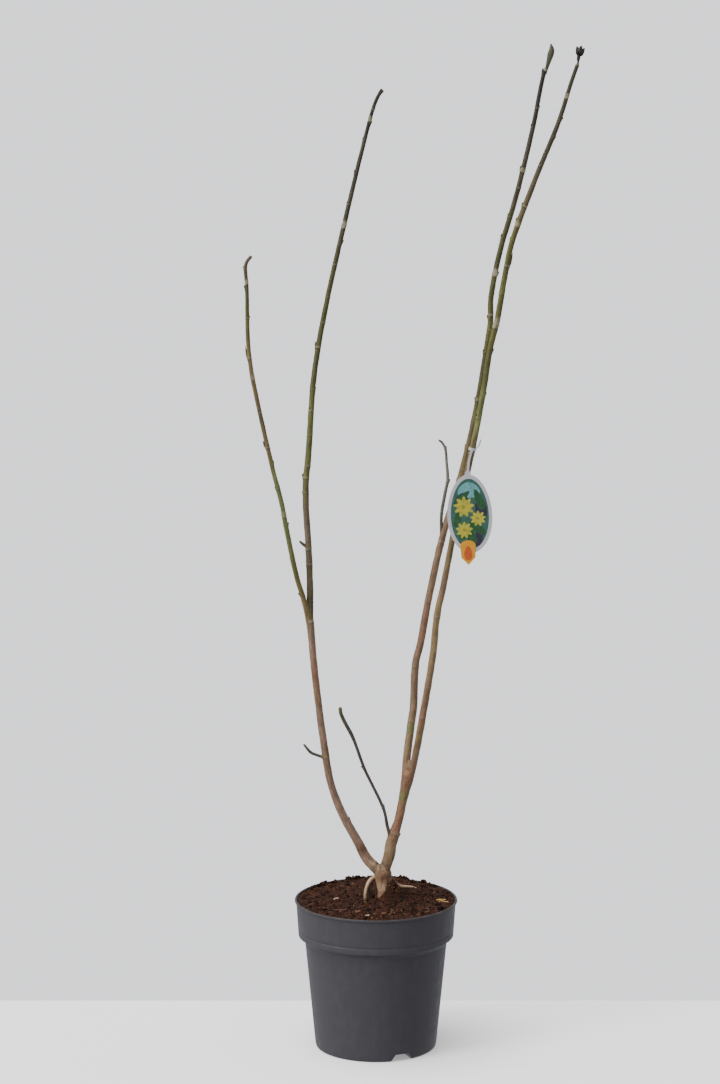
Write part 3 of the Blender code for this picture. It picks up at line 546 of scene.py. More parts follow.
@cache
def limb_rings(name):
    """A whole limb's rings, worked out once for all the pieces that it is cut into."""
    limb = LIMBS[name]
    rings = trace(smooth_path(limb.bends, RING_SPACING), limb.girth, limb.skin)
    rings.radii = (rings.radii + BARK_PROUD) * (1 + limb.collar * np.exp(-rings.run / COLLAR_LENGTH))
    rounding = np.clip(1 - (rings.run[-1] - rings.run) / rings.radii[-1], 0, 0.96)
    rings.radii = rings.radii * np.sqrt(1 - rounding ** 2)
    rings.shift = 10 * list(LIMBS).index(name)
    draw = random.Random(name)
    scars = [(run_at(rings, height), length, strength) for height, length, strength in limb.scars]
    buds = [(run_at(rings, height), math.radians(bearing), length, width)
            for height, bearing, length, width in limb.buds]
    place = run_at(rings, limb.nodes_from)
    bearing = 0
    while place < rings.run[-1] - NODE_GAP:
        place += NODE_GAP * draw.uniform(0.75, 1.35)
        bearing += math.radians(144) + draw.uniform(-0.3, 0.3)
        taken = [run for run, *_ in scars + buds]
        if place < rings.run[-1] and min([abs(place - run) for run in taken], default=1) > NODE_CLEAR:
            scars.append((place, 0.6 * MM, draw.uniform(0.15, 0.4)))
            buds.append((place + MM, bearing, draw.uniform(3, 4.5) * MM, draw.uniform(1.7, 2.3) * MM))
    rings.scars = tuple(scars)
    rings.buds = tuple(buds)
    rings.patches = tuple((run_at(rings, height), math.radians(bearing), reach, tone)
                          for height, bearing, reach, tone in limb.patches)
    return rings


def run_at(rings, height):
    return float(np.interp(height, rings.path[:, 2], rings.run))


def bell(distance, reach):
    return math.exp(-(distance / reach) ** 2)


def rise(value, low, high):
    """0 below low and 1 above high, with a smooth step between them."""
    share = min(1, max(0, (value - low) / (high - low)))
    return share * share * (3 - 2 * share)


def mixed(colour, other, share):
    return colour + (SKINS[other] - colour) * share


def bark_relief(rings, ring, angle):
    """How far the bark stands proud at an angle of a ring, as a share of the limb's radius."""
    run = rings.run[ring]
    across = Vector((math.cos(angle), math.sin(angle), 0))
    proud = RIDGE_SHARE * noise.noise(across * 1.7 + Vector((rings.shift, 0, run / RIDGE_LENGTH)))
    proud += WRINKLE_SHARE * noise.noise(across * 3.4 + Vector((0, rings.shift, run / WRINKLE_LENGTH)))
    for place, length, strength in rings.scars:
        if abs(run - place) < SCAR_REACH:
            along = run - place - SCAR_TILT * math.sin(angle + place * 900)
            proud += strength * (0.12 * bell(along - length / 2, 2.4 * MM + length / 2) - 0.10 * bell(along, 0.7 * MM))
    for place, bearing, _, width in rings.buds:
        if abs(run - place) < SCAR_REACH:
            facing = max(0, math.cos(angle - bearing)) ** 2
            proud += 0.3 * min(1, width / rings.radii[ring] / 0.8) * bell(run - place + MM, 2.4 * MM) * facing
    return proud


def bark_tint(rings, ring, angle):
    """The skin colour at an angle of a ring, with its pale scar bands, dark lines and leaf scars."""
    run = rings.run[ring]
    colour = rings.skin[ring]
    for place, bearing, reach, tone in rings.patches:
        if abs(run - place) < 3 * reach:
            colour = mixed(colour, tone, 0.8 * bell(run - place, reach) * (0.5 + 0.5 * math.cos(angle - bearing)))
    for place, length, strength in rings.scars:
        if abs(run - place) < SCAR_REACH + length:
            along = run - place - SCAR_TILT * math.sin(angle + place * 900)
            ragged = 0.75 + 0.5 * noise.noise(Vector((math.cos(angle) * 2, math.sin(angle) * 2, run * 400)))
            pale = rise(along, -0.3 * MM, 0.6 * MM) * (1 - rise(along, 0.7 * length, length + 1.5 * MM))
            colour = mixed(colour, "scar", min(1, strength * pale * ragged))
            colour = mixed(colour, "char", strength * 0.65 * bell(along + 1.1 * MM, 0.9 * MM))
    for place, bearing, _, width in rings.buds:
        if abs(run - place) < SCAR_REACH:
            facing = max(0, math.cos(angle - bearing)) ** 3
            colour = mixed(colour, "scar", 0.6 * facing * bell(run - place + 1.6 * MM, 0.9 * MM))
            colour = mixed(colour, "char", 0.5 * facing * bell(run - place + 3.0 * MM, 0.7 * MM))
    return colour


def tube(target, rings, sides, relief=None, tint=None, material=0, first=0, last=None):
    """Add a closed tube round rings first to last. Relief and tint are worked out at (rings, ring, angle)."""
    last = len(rings.path) - 1 if last is None else last
    bm = bmesh.new()
    grain = bm.verts.layers.float_vector.new("grain")
    skin = bm.verts.layers.float_color.new("skin")
    bmesh.ops.create_cone(bm, cap_ends=True, segments=sides, radius1=1, radius2=1, depth=1)
    uprights = [edge for edge in bm.edges if abs(edge.verts[0].co.z - edge.verts[1].co.z) > 0.5]
    bmesh.ops.subdivide_edges(bm, edges=uprights, cuts=last - first - 1, use_grid_fill=True)
    for vert in bm.verts:
        ring = first + round((vert.co.z + 0.5) * (last - first))
        angle = math.atan2(vert.co.y, vert.co.x)
        radius = rings.radii[ring]
        if relief:
            radius *= 1 + relief(rings, ring, angle)
        across = radius * math.cos(angle)
        behind = radius * math.sin(angle)
        vert[grain] = (across, behind, rings.run[ring])
        vert[skin] = tint(rings, ring, angle) if tint else rings.skin[ring]
        vert.co = rings.path[ring] + rings.right[ring] * across + rings.away[ring] * behind
    for face in bm.faces:
        face.material_index = material
        face.smooth = True
    add_to(target, bm)


def add_to(target, bm):
    """Move one bmesh's geometry into another."""
    mesh = bpy.data.meshes.new("part")
    bm.to_mesh(mesh)
    bm.free()
    target.from_mesh(mesh)
    bpy.data.meshes.remove(mesh)


def finish_piece(name, bm, materials, slot, *nodes):
    mesh = bpy.data.meshes.new(name)
    bm.to_mesh(mesh)
    bm.free()
    return finish_mesh(mesh, materials, slot, *nodes)


def finish_mesh(mesh, materials, slot, *nodes):
    """Put a finished mesh in the scene as a piece that rides with the pot and stands for its CAD nodes."""
    for material in materials:
        mesh.materials.append(material)
    piece = bpy.data.objects.new(mesh.name, mesh)
    bpy.context.scene.collection.objects.link(piece)
    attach(piece, "root")
    if nodes:
        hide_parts(*nodes)
    return piece


def evaluated(bm, *modifiers):
    """A bmesh as it comes out of modifiers, each given as (kind, settings)."""
    mesh = bpy.data.meshes.new("cage")
    bm.to_mesh(mesh)
    bm.free()
    cage = bpy.data.objects.new("cage", mesh)
    bpy.context.scene.collection.objects.link(cage)
    for kind, settings in modifiers:
        modifier = cage.modifiers.new(kind, kind)
        for name, value in settings.items():
            setattr(modifier, name, value)
    made = bmesh.new()
    shown = cage.evaluated_get(bpy.context.evaluated_depsgraph_get())
    made.from_mesh(shown.to_mesh())
    shown.to_mesh_clear()
    bpy.data.objects.remove(cage)
    bpy.data.meshes.remove(mesh)
    return made


def fused_rings(name):
    """A limb's last ring in the forked wood."""
    rings = limb_rings(name)
    inside = np.flatnonzero(rings.path[:, 2] < LIMBS[name].fused_to)
    return rings, min(len(rings.path) - 1, int(inside[-1]) + STUB_RINGS)


def make_lower_wood(bark):
    """Trunk, roots, stems and the feet of what grows from them, grown together at the forks."""
    cage = bmesh.new()
    fused = [name for name, limb in LIMBS.items() if limb.fused_to]
    owners = []
    for name in fused:
        rings, last = fused_rings(name)
        slim = replace(rings, radii=rings.radii.copy())
        if LIMBS[name].fused_to < 1:
            slim.radii[last - STUB_RINGS:last + 1] *= np.linspace(1, STUB_TAPER, STUB_RINGS + 1)
        tube(cage, slim, LOWER_SIDES, last=last)
        owners += [(rings, ring) for ring in range(0, last + 1, 3)]
    for place, width in KNUCKLES:
        bmesh.ops.create_icosphere(cage, subdivisions=3, radius=width / 2, matrix=Matrix.Translation(place))
    wood = evaluated(cage, ("REMESH", {"mode": "VOXEL", "voxel_size": FORK_VOXEL}))
    for place, reach in FORKS:
        near = [vert for vert in wood.verts if (vert.co - Vector(place)).length < reach]
        for _ in range(FORK_SMOOTHINGS):
            bmesh.ops.smooth_vert(wood, verts=near, factor=0.5, use_axis_x=True, use_axis_y=True, use_axis_z=True)

    tree = kdtree.KDTree(len(owners))
    for number, (rings, ring) in enumerate(owners):
        tree.insert(rings.path[ring], number)
    tree.balance()
    for layer in list(wood.verts.layers.float_vector) + list(wood.verts.layers.float_color):
        (wood.verts.layers.float_vector if layer.name == "grain" else wood.verts.layers.float_color).remove(layer)
    grain = wood.verts.layers.float_vector.new("grain")
    skin = wood.verts.layers.float_color.new("skin")
    wood.normal_update()
    for vert in wood.verts:
        near = [(distance - owners[number][0].radii[owners[number][1]], number)
                for _, number, distance in tree.find_n(vert.co, 40)]
        rings, ring = owners[min(near)[1]]
        span = range(max(0, ring - 3), min(len(rings.path), ring + 4))
        ring = min(span, key=lambda other: np.sum((rings.path[other] - vert.co) ** 2))
        offset = np.array(vert.co) - rings.path[ring]
        across = float(offset @ rings.right[ring])
        behind = float(offset @ rings.away[ring])
        angle = math.atan2(behind, across)
        vert[grain] = (across, behind, rings.run[ring])
        vert[skin] = bark_tint(rings, ring, angle)
        vert.co += vert.normal * float(rings.radii[ring] * bark_relief(rings, ring, angle))
    for face in wood.faces:
        face.smooth = True
        face.material_index = 0
    draw = random.Random(SEED)
    root = limb_rings("left_root")
    for _ in range(ROOTLETS):
        start = root.path[int(draw.uniform(0.15, 0.7) * len(root.path))]
        fall = Vector((draw.uniform(1, 11), draw.uniform(-7, 3), -60)) * MM
        sway = Vector((draw.uniform(-2, 3), draw.uniform(-3, 2), -15)) * MM
        bends = [tuple(start), tuple(Vector(start) + sway), tuple(Vector(start) + fall)]
        rootlet = trace(smooth_path(bends, 2 * MM), (1.5 * MM, 1.1 * MM, 0.8 * MM),
                        [draw.choice(("char", "soil", "dusk", "clay")) for _ in range(4)])
        tube(wood, rootlet, 5)
    for name in fused:
        rings, last = fused_rings(name)
        for bud in rings.buds:
            if bud[0] < rings.run[last] and LIMBS[name].nodes_from > 1:
                make_bud(wood, rings, bud)
    finish_piece("lower_wood", wood, (bark,), "old_bark", "trunk", "left_stem", "right_stem")


def make_bud(target, rings, bud):
    """A slim pointed bud that presses against its limb, in two overlapping scales."""
    place, bearing, length, width = bud
    first = int(np.searchsorted(rings.run, place))
    first = min(first, len(rings.run) - 2)
    side = rings.right[first] * math.cos(bearing) + rings.away[first] * math.sin(bearing)
    along = rings.path[first + 1] - rings.path[first]
    along /= np.linalg.norm(along)
    steps = np.linspace(0, 1, BUD_RINGS)
    lean = rings.radii[first] + width * (0.05 + 0.42 * steps - 0.15 * steps ** 3)
    path = rings.path[first] + np.outer(steps * length - 0.5 * MM, along) + np.outer(lean, side)
    swelling = width * np.interp(steps, BUD_STEPS, BUD_PROFILE)
    shape = trace(path, swelling, ("bud", "umber", "bud", "char"))
    tube(target, shape, BUD_SIDES, bud_relief)


def bud_relief(rings, ring, angle):
    """Scale edges that wind up a bud."""
    turn = (angle / math.pi + 3 * ring / len(rings.path)) % 1
    return 0.06 * (turn - 0.5)


def cut_ring(limb_name):
    """The ring where a limb's bough ends and its twig begins."""
    rings = limb_rings(limb_name)
    return int(np.searchsorted(rings.path[:, 2], LIMBS[limb_name].twig_from))


def make_stretch(node, limb_name, slot, bark):
    """One bough, or one twig with its buds, as its CAD node bounds it."""
    rings = limb_rings(limb_name)
    limb = LIMBS[limb_name]
    first = fused_rings(limb_name)[1] - STUB_RINGS if limb.fused_to else 0
    last = len(rings.path) - 1
    if node.endswith("bough"):
        last = cut_ring(limb_name)
    elif limb.twig_from < 9:
        first = cut_ring(limb_name)
    bm = bmesh.new()
    tube(bm, rings, LIMB_SIDES, bark_relief, bark_tint, first=first, last=last)
    for bud in rings.buds:
        if rings.run[first] < bud[0] < rings.run[last] - 0.5 * MM:
            make_bud(bm, rings, bud)
    finish_piece(node + "_bark", bm, (bark,), slot, node)


def silky_relief(rings, ring, angle):
    """Two furry scales wrapped round the terminal bud."""
    turn = (angle / (2 * math.pi) + 0.45 * ring / len(rings.path)) % 1
    ridge = noise.noise(Vector((math.cos(angle) * 2, math.sin(angle) * 2, ring / 9)))
    return 0.10 * (turn - 0.5) + 0.05 * ridge


def silky_tint(rings, ring, angle):
    turn = (angle / (2 * math.pi) + 0.45 * ring / len(rings.path)) % 1
    colour = mixed(rings.skin[ring], "moss", 0.5 * bell(turn - 0.02, 0.06) + 0.5 * bell(turn - 0.98, 0.06))
    return mixed(colour, "char", 0.8 * (1 - rise(rings.run[ring], 1 * MM, 3 * MM)))


def make_tall_bud(fur):
    bm = bmesh.new()
    rings = trace(smooth_path(TALL_BUD, 0.8 * MM), TALL_BUD_GIRTH, ("char", "night", "silk", "silk", "silk", "silk"))
    tube(bm, rings, 28, silky_relief, silky_tint)
    finish_piece("tall_bud", bm, (fur,), "twig")


def make_withered_head(dry):
    """The dried flower bud: a shrunken stalk and a knob, with cupped scales that stand open round it."""
    bm = bmesh.new()
    neck = Vector(WITHERED_NECK)
    head = Vector(WITHERED_HEAD)
    stalk = np.array([neck.lerp(head, step / 12) for step in range(-2, 13)])
    rings = trace(stalk, (0.0044, 0.0034, 0.0034, 0.0052, 0.0056, 0.0050, 0.0020), ("ash", "char", "char", "char"))
    tube(bm, rings, 16, bark_relief)
    draw = random.Random(SEED)
    for number in range(WITHERED_FLAKES):
        bearing = number * math.radians(137.5) + draw.uniform(-0.3, 0.3)
        lean = math.radians(8 + 28 * (number % 4) / 3 + draw.uniform(-5, 5))
        reach = WITHERED_LENGTH * draw.uniform(0.52, 0.70)
        flake = bmesh.new()
        grain = flake.verts.layers.float_vector.new("grain")
        skin = flake.verts.layers.float_color.new("skin")
        bmesh.ops.create_grid(flake, x_segments=6, y_segments=8, size=0.5)
        for vert in flake.verts:
            along = vert.co.y + 0.5
            width = WITHERED_WIDTH * (0.35 + 1.1 * math.sin(math.pi * along ** 0.8) * 0.6)
            across = vert.co.x * width
            crumple = 0.5 * MM * noise.noise(Vector((across / (2 * MM), along * 4, number)))
            vert[grain] = (across, 0, along * reach)
            vert[skin] = mixed(SKINS["char"], "ash", 0.9 * along * draw.random())
            cup = (across / WITHERED_WIDTH) ** 2 * WITHERED_WIDTH * 1.1
            vert.co = (across, cup + crumple - 0.18 * reach * along ** 2, along * reach)
        bmesh.ops.solidify(flake, geom=flake.faces[:], thickness=0.35 * MM)
        bmesh.ops.recalc_face_normals(flake, faces=flake.faces[:])
        turn = WITHERED_TURN @ Matrix.Rotation(bearing, 4, "Z") @ Matrix.Rotation(-lean, 4, "X")
        bmesh.ops.transform(flake, verts=flake.verts[:], matrix=Matrix.Translation(neck.lerp(head, 0.7)) @ turn)
        for face in flake.faces:
            face.smooth = True
        add_to(bm, flake)
    finish_piece("withered_head", bm, (dry,), "twig")


def add_node(tree, kind, inputs=None, **properties):
    """Add a shader node. Each input is a value to set or an output to link from."""
    made = tree.nodes.new("ShaderNode" + kind)
    for name, value in properties.items():
        setattr(made, name, value)
    for name, value in (inputs or {}).items():
        if isinstance(value, bpy.types.NodeSocket):
            tree.links.new(value, made.inputs[name])
        else:
            made.inputs[name].default_value = value
    return made


def new_material(name, roughness, **settings):
    """A Principled material. Settings are values of the shader's own sockets."""
    material = bpy.data.materials.new(name)
    material.use_nodes = True
    shader = material.node_tree.nodes["Principled BSDF"]
    shader.inputs["Roughness"].default_value = roughness
    for socket, value in settings.items():
        shader.inputs[socket.replace("_", " ")].default_value = value
    return material, material.node_tree, shader


def drifting(tree, source, spans):
    """Noise patterns on a source of coordinates, each named with its width and length in millimetres."""
    made = {}
    for name, (width, length, detail) in spans.items():
        scale = (1 / (width * MM), 1 / (width * MM), 1 / (length * MM))
        scaled = add_node(tree, "Mapping", {"Vector": source, "Scale": scale})
        made[name] = add_node(tree, "TexNoise", {"Vector": scaled.outputs["Vector"], "Scale": 1, "Detail": detail,
                                                 "Roughness": 0.6}).outputs["Fac"]
    return made


def bark_material():
    """Living magnolia bark, smooth and satiny as it grew: a tight skin with streaks, wrinkles and corky dots."""
    material, tree, shader = new_material("living_magnolia_bark", 0.55, Specular_IOR_Level=0.28)
    grain = add_node(tree, "Attribute", attribute_name="grain").outputs["Vector"]
    skin = add_node(tree, "Attribute", attribute_name="skin").outputs["Color"]
    drift = drifting(tree, grain, {"streaks": (1.1, 16, 3), "wrinkles": (5, 0.8, 2), "patches": (7, 22, 2)})

    # Streaks and patches that darken and lighten the skin.
    shade = add_node(tree, "MapRange", {"Value": drift["streaks"], "From Min": 0.3, "From Max": 0.72,
                                        "To Min": 0.66, "To Max": 1.28})
    streaked = add_node(tree, "MixRGB", {"Fac": 1.0, "Color1": skin, "Color2": shade.outputs["Result"]},
                        blend_type="MULTIPLY")
    cloud = add_node(tree, "MapRange", {"Value": drift["patches"], "From Min": 0.35, "From Max": 0.65,
                                        "To Min": 0.74, "To Max": 1.2})
    clouded = add_node(tree, "MixRGB", {"Fac": 1.0, "Color1": streaked.outputs["Color"],
                                        "Color2": cloud.outputs["Result"]}, blend_type="MULTIPLY")

    # Corky dots, about 0.7 mm wide and 3 mm apart.
    spread = add_node(tree, "Mapping", {"Vector": grain, "Scale": (380, 380, 300)})
    cells = add_node(tree, "TexVoronoi", {"Vector": spread.outputs["Vector"], "Scale": 1.0})
    dots = add_node(tree, "MapRange", {"Value": cells.outputs["Distance"], "From Min": 0.13, "From Max": 0.22,
                                       "To Min": 0.5, "To Max": 0.0})
    corky = add_node(tree, "MixRGB", {"Fac": dots.outputs["Result"], "Color1": clouded.outputs["Color"],
                                      "Color2": linear("#8f7c61")})
    tree.links.new(corky.outputs["Color"], shader.inputs["Base Color"])

    gloss = add_node(tree, "MapRange", {"Value": drift["streaks"], "From Min": 0.3, "From Max": 0.7,
                                        "To Min": 0.46, "To Max": 0.72})
    tree.links.new(gloss.outputs["Result"], shader.inputs["Roughness"])
    height = add_node(tree, "Math", {0: drift["streaks"], 1: drift["wrinkles"]}, operation="ADD")
    warted = add_node(tree, "Math", {0: height.outputs[0], 1: dots.outputs["Result"]}, operation="ADD")
    relief = add_node(tree, "Bump", {"Height": warted.outputs[0], "Distance": 0.35 * MM, "Strength": 0.7})
    tree.links.new(relief.outputs["Normal"], shader.inputs["Normal"])
    return material


def fur_material():
    """Bud scales under short silky hairs, as they grew: soft, with a pale bloom at a glancing look."""
    material, tree, shader = new_material("silky_bud_scales", 0.75, Sheen_Weight=0.15, Sheen_Roughness=0.4)
    grain = add_node(tree, "Attribute", attribute_name="grain").outputs["Vector"]
    skin = add_node(tree, "Attribute", attribute_name="skin").outputs["Color"]
    drift = drifting(tree, grain, {"hairs": (0.5, 5, 2), "patches": (3, 5, 2)})
    shade = add_node(tree, "MapRange", {"Value": drift["hairs"], "From Min": 0.3, "From Max": 0.7,
                                        "To Min": 0.7, "To Max": 1.3})
    combed = add_node(tree, "MixRGB", {"Fac": 1.0, "Color1": skin, "Color2": shade.outputs["Result"]},
                      blend_type="MULTIPLY")
    tree.links.new(combed.outputs["Color"], shader.inputs["Base Color"])
    relief = add_node(tree, "Bump", {"Height": drift["hairs"], "Distance": 0.25 * MM, "Strength": 0.8})
    tree.links.new(relief.outputs["Normal"], shader.inputs["Normal"])
    return material


def dry_material():
    """Dead bud scales, dried on the twig: nearly black and matt, with brown edges."""
    material, tree, shader = new_material("dried_bud_scales", 0.85)
    grain = add_node(tree, "Attribute", attribute_name="grain").outputs["Vector"]
    skin = add_node(tree, "Attribute", attribute_name="skin").outputs["Color"]
    drift = drifting(tree, grain, {"veins": (0.7, 4, 3)})
    shade = add_node(tree, "MapRange", {"Value": drift["veins"], "From Min": 0.3, "From Max": 0.7,
                                        "To Min": 0.5, "To Max": 1.6})
    veined = add_node(tree, "MixRGB", {"Fac": 1.0, "Color1": skin, "Color2": shade.outputs["Result"]},
                      blend_type="MULTIPLY")
    tree.links.new(veined.outputs["Color"], shader.inputs["Base Color"])
    relief = add_node(tree, "Bump", {"Height": drift["veins"], "Distance": 0.3 * MM, "Strength": 0.8})
    tree.links.new(relief.outputs["Normal"], shader.inputs["Normal"])
    return material


def arc(centre, radius, start, end, steps):
    """Points of a rounded edge, by its angles in degrees."""
    angles = [math.radians(start + (end - start) * step / steps) for step in range(steps + 1)]
    return [(centre[0] + radius * math.cos(angle), centre[1] + radius * math.sin(angle)) for angle in angles]


def body_radius(height):
    """Outer radius of the pot's tapering body at a height."""
    return BASE_RADIUS + (SHOULDER_RADIUS - BASE_RADIUS) * height / SHOULDER_FOOT


def band_radius(height):
    """Outer radius of the pot's rim band at a height."""
    return BAND_FOOT_RADIUS + (BAND_TOP_RADIUS - BAND_FOOT_RADIUS) * (height - BAND_FOOT) / (POT_HEIGHT - BAND_FOOT)


def inner_radius(height):
    """Radius of the pot's inner side at a height."""
    heights = (FLOOR, HEEL + FLOOR, SHOULDER_FOOT + 1.1 * MM, BAND_FOOT + 1.1 * MM, POT_HEIGHT)
    radii = (BASE_RADIUS - HEEL, body_radius(HEEL), SHOULDER_RADIUS, BAND_FOOT_RADIUS, BAND_TOP_RADIUS)
    return float(np.interp(height, heights, radii)) - WALL


def pot_section():
    """The pot's section: out along its underside, up the outer side, over the lip and down inside."""
    outside = [(0, 0), (BASE_RADIUS - HEEL, 0)]
    outside += arc((BASE_RADIUS - HEEL * 0.9, HEEL * 0.9), HEEL * 0.9, -80, 0, 5)
    for height in np.arange(8 * MM, SHOULDER_FOOT - 6 * MM, 6 * MM):
        outside.append((body_radius(height), height))
    outside += arc((SHOULDER_RADIUS + 7 * MM, SHOULDER_FOOT - 1.5 * MM), 7 * MM, 180, 145, 7)
    outside += [(BAND_FOOT_RADIUS - OVERHANG, BAND_FOOT - 1.2 * MM), (BAND_FOOT_RADIUS - OVERHANG, BAND_FOOT),
                (BAND_FOOT_RADIUS - OVERHANG / 2, BAND_FOOT)]
    outside += arc((BAND_FOOT_RADIUS - 0.4 * MM, BAND_FOOT + 0.4 * MM), 0.4 * MM, -90, 0, 4)
    for step in range(9):
        height = GROOVE_HEIGHT + (step / 8 - 0.5) * GROOVE_WIDTH
        outside.append((band_radius(height) - GROOVE_DEPTH * math.sin(math.pi * step / 8) ** 2, height))
    lip_foot = POT_HEIGHT - LIP_HEIGHT
    for height in np.arange(GROOVE_HEIGHT + 6 * MM, lip_foot - 3 * MM, 6 * MM):
        outside.append((band_radius(height), height))
    outside.append((band_radius(lip_foot - MM), lip_foot - MM))
    outside += arc((RIM_RADIUS - 0.9 * MM, lip_foot + 0.9 * MM), 0.9 * MM, -75, 0, 4)
    outside += arc((RIM_RADIUS - 1.1 * MM, POT_HEIGHT - 1.1 * MM), 1.1 * MM, 0, 90, 6)
    inside = arc((inner_radius(POT_HEIGHT) + 1.3 * MM, POT_HEIGHT - 1.3 * MM), 1.3 * MM, 90, 170, 5)
    for height in np.linspace(POT_HEIGHT - 6 * MM, HEEL + FLOOR, 24):
        inside.append((inner_radius(height), height))
    return outside + inside + [(inner_radius(FLOOR), FLOOR), (0, FLOOR)]


def spun(section, steps):
    """A closed body turned about the pot's axis from (radius, height) points."""
    bm = bmesh.new()
    points = [bm.verts.new((radius, 0, height)) for radius, height in section]
    edges = [bm.edges.new(pair) for pair in zip(points, points[1:])]
    bmesh.ops.spin(bm, geom=points + edges, cent=(0, 0, 0), axis=(0, 0, 1), angle=2 * math.pi, steps=steps,
                   use_merge=True)
    bmesh.ops.remove_doubles(bm, verts=bm.verts[:], dist=0.02 * MM)
    bmesh.ops.recalc_face_normals(bm, faces=bm.faces[:])
    for face in bm.faces:
        face.smooth = True
    return bm


def notch_wedge(name, bearing, grow, outer):
    """The space of one drainage notch with slanted sides, or the hump over it when grown."""
    low = FLOOR - 0.2 * MM if grow else -10 * MM
    high = NOTCH_HEIGHT + grow
    inner = NOTCH_INNER_RADIUS - grow
    bm = bmesh.new()
    bmesh.ops.create_cube(bm, size=1)
    for vert in bm.verts:
        height = high if vert.co.z > 0 else low
        half = NOTCH_HALF_WIDTH + grow + NOTCH_SLANT * (high - height)
        vert.co = (outer if vert.co.x > 0 else inner, math.copysign(half, vert.co.y), height)
    bmesh.ops.rotate(bm, verts=bm.verts[:], matrix=Matrix.Rotation(math.radians(bearing), 3, "Z"))
    return cutter(name, bm)


def cutter(name, bm):
    mesh = bpy.data.meshes.new(name)
    bm.to_mesh(mesh)
    bm.free()
    guide = bpy.data.objects.new(name, mesh)
    bpy.context.scene.collection.objects.link(guide)
    return guide


def make_pot(plastic):
    """The thin-walled pot, with humps over its notches and drain holes between them."""
    humps = [notch_wedge(f"hump_{bearing}", bearing, WALL, BASE_RADIUS - HEEL * 0.7) for bearing in NOTCH_BEARINGS]
    cuts = [notch_wedge(f"notch_{bearing}", bearing, 0, BASE_RADIUS + 20 * MM) for bearing in NOTCH_BEARINGS]
    for bearing in DRAIN_BEARINGS:
        bm = bmesh.new()
        angle = math.radians(bearing)
        place = Matrix.Translation((DRAIN_CIRCLE * math.cos(angle), DRAIN_CIRCLE * math.sin(angle), 0))
        bmesh.ops.create_cone(bm, cap_ends=True, segments=24, radius1=DRAIN_RADIUS, radius2=DRAIN_RADIUS,
                              depth=20 * MM, matrix=place)
        cuts.append(cutter(f"drain_{bearing}", bm))
    steps = [("BOOLEAN", {"operation": "UNION", "object": hump}) for hump in humps]
    steps += [("BOOLEAN", {"operation": "DIFFERENCE", "object": cut}) for cut in cuts]
    pot = evaluated(spun(pot_section(), POT_SIDES), *steps)
    for guide in humps + cuts:
        mesh = guide.data
        bpy.data.objects.remove(guide)
        bpy.data.meshes.remove(mesh)
    for face in pot.faces:
        face.smooth = True
        face.material_index = 0
    mesh = bpy.data.meshes.new("pot_moulding")
    pot.to_mesh(mesh)
    pot.free()
    mesh.set_sharp_from_angle(angle=math.radians(38))
    finish_mesh(mesh, (plastic,), "pot_plastic", "pot")


def compost_height(x, y):
    """The compost's surface: level at the rim, heaped at the plant, with clods of several sizes."""
    height = COMPOST_EDGE
    for across, back, reach, rise_by in HEAPS:
        height += rise_by * bell(math.hypot(x - across, y - back), reach)
    for spacing, size in CLODS:
        height += size * noise.noise(Vector((x, y, 0.7 + spacing)) / spacing)
    edge = rise(math.hypot(x, y), COMPOST_RADIUS - 9 * MM, COMPOST_RADIUS)
    return height - EDGE_SETTLING * edge


def make_compost_bed(soil):
    """The body of compost that fills the pot, rough on top."""
    top = [(COMPOST_RADIUS * (ring / COMPOST_RINGS), COMPOST_EDGE) for ring in range(COMPOST_RINGS + 1)]
    foot = NOTCH_HEIGHT + WALL + MM
    wall = [(inner_radius(height) - 0.4 * MM, height) for height in np.linspace(COMPOST_EDGE - 8 * MM, foot, 12)]
    bm = spun(top + wall + [(0, foot)], COMPOST_SIDES)
    for vert in bm.verts:
        if vert.co.z > COMPOST_EDGE - 0.1 * MM:
            vert.co.z = compost_height(vert.co.x, vert.co.y)
    finish_piece("compost_bed", bm, (soil,), "compost", "compost")


def rough_shape(kind, number):
    """One small shape to be strewn: a lump, a splinter of bark or a bent fibre, a millimetre or so long."""
    bm = bmesh.new()
    if kind == "crumb":
        bmesh.ops.create_icosphere(bm, subdivisions=1, radius=0.5)
    elif kind == "chip":
        bmesh.ops.create_cube(bm, size=1)
        bmesh.ops.subdivide_edges(bm, edges=bm.edges[:], cuts=1, use_grid_fill=True)
    else:
        bmesh.ops.create_cone(bm, cap_ends=True, segments=4, radius1=0.5, radius2=0.5, depth=1)
        uprights = [edge for edge in bm.edges if abs(edge.verts[0].co.z - edge.verts[1].co.z) > 0.5]
        bmesh.ops.subdivide_edges(bm, edges=uprights, cuts=5, use_grid_fill=True)
        bmesh.ops.rotate(bm, verts=bm.verts[:], matrix=Matrix.Rotation(math.pi / 2, 3, "Y"))
    for vert in bm.verts:
        push = noise.noise_vector(vert.co * 1.7 + Vector((number * 7.3, 0, 0)))
        if kind == "fibre":
            vert.co += Vector((0, 1.6 * math.sin(vert.co.x * (2 + number)), 0.8 * math.cos(vert.co.x * 5 + number)))
        else:
            vert.co += push * (0.26 if kind == "crumb" else 0.16)
    bmesh.ops.triangulate(bm, faces=bm.faces[:])
    bm.verts.index_update()
    points = np.array([vert.co for vert in bm.verts])
    faces = [[vert.index for vert in face.verts] for face in bm.faces]
    bm.free()
    return points, faces


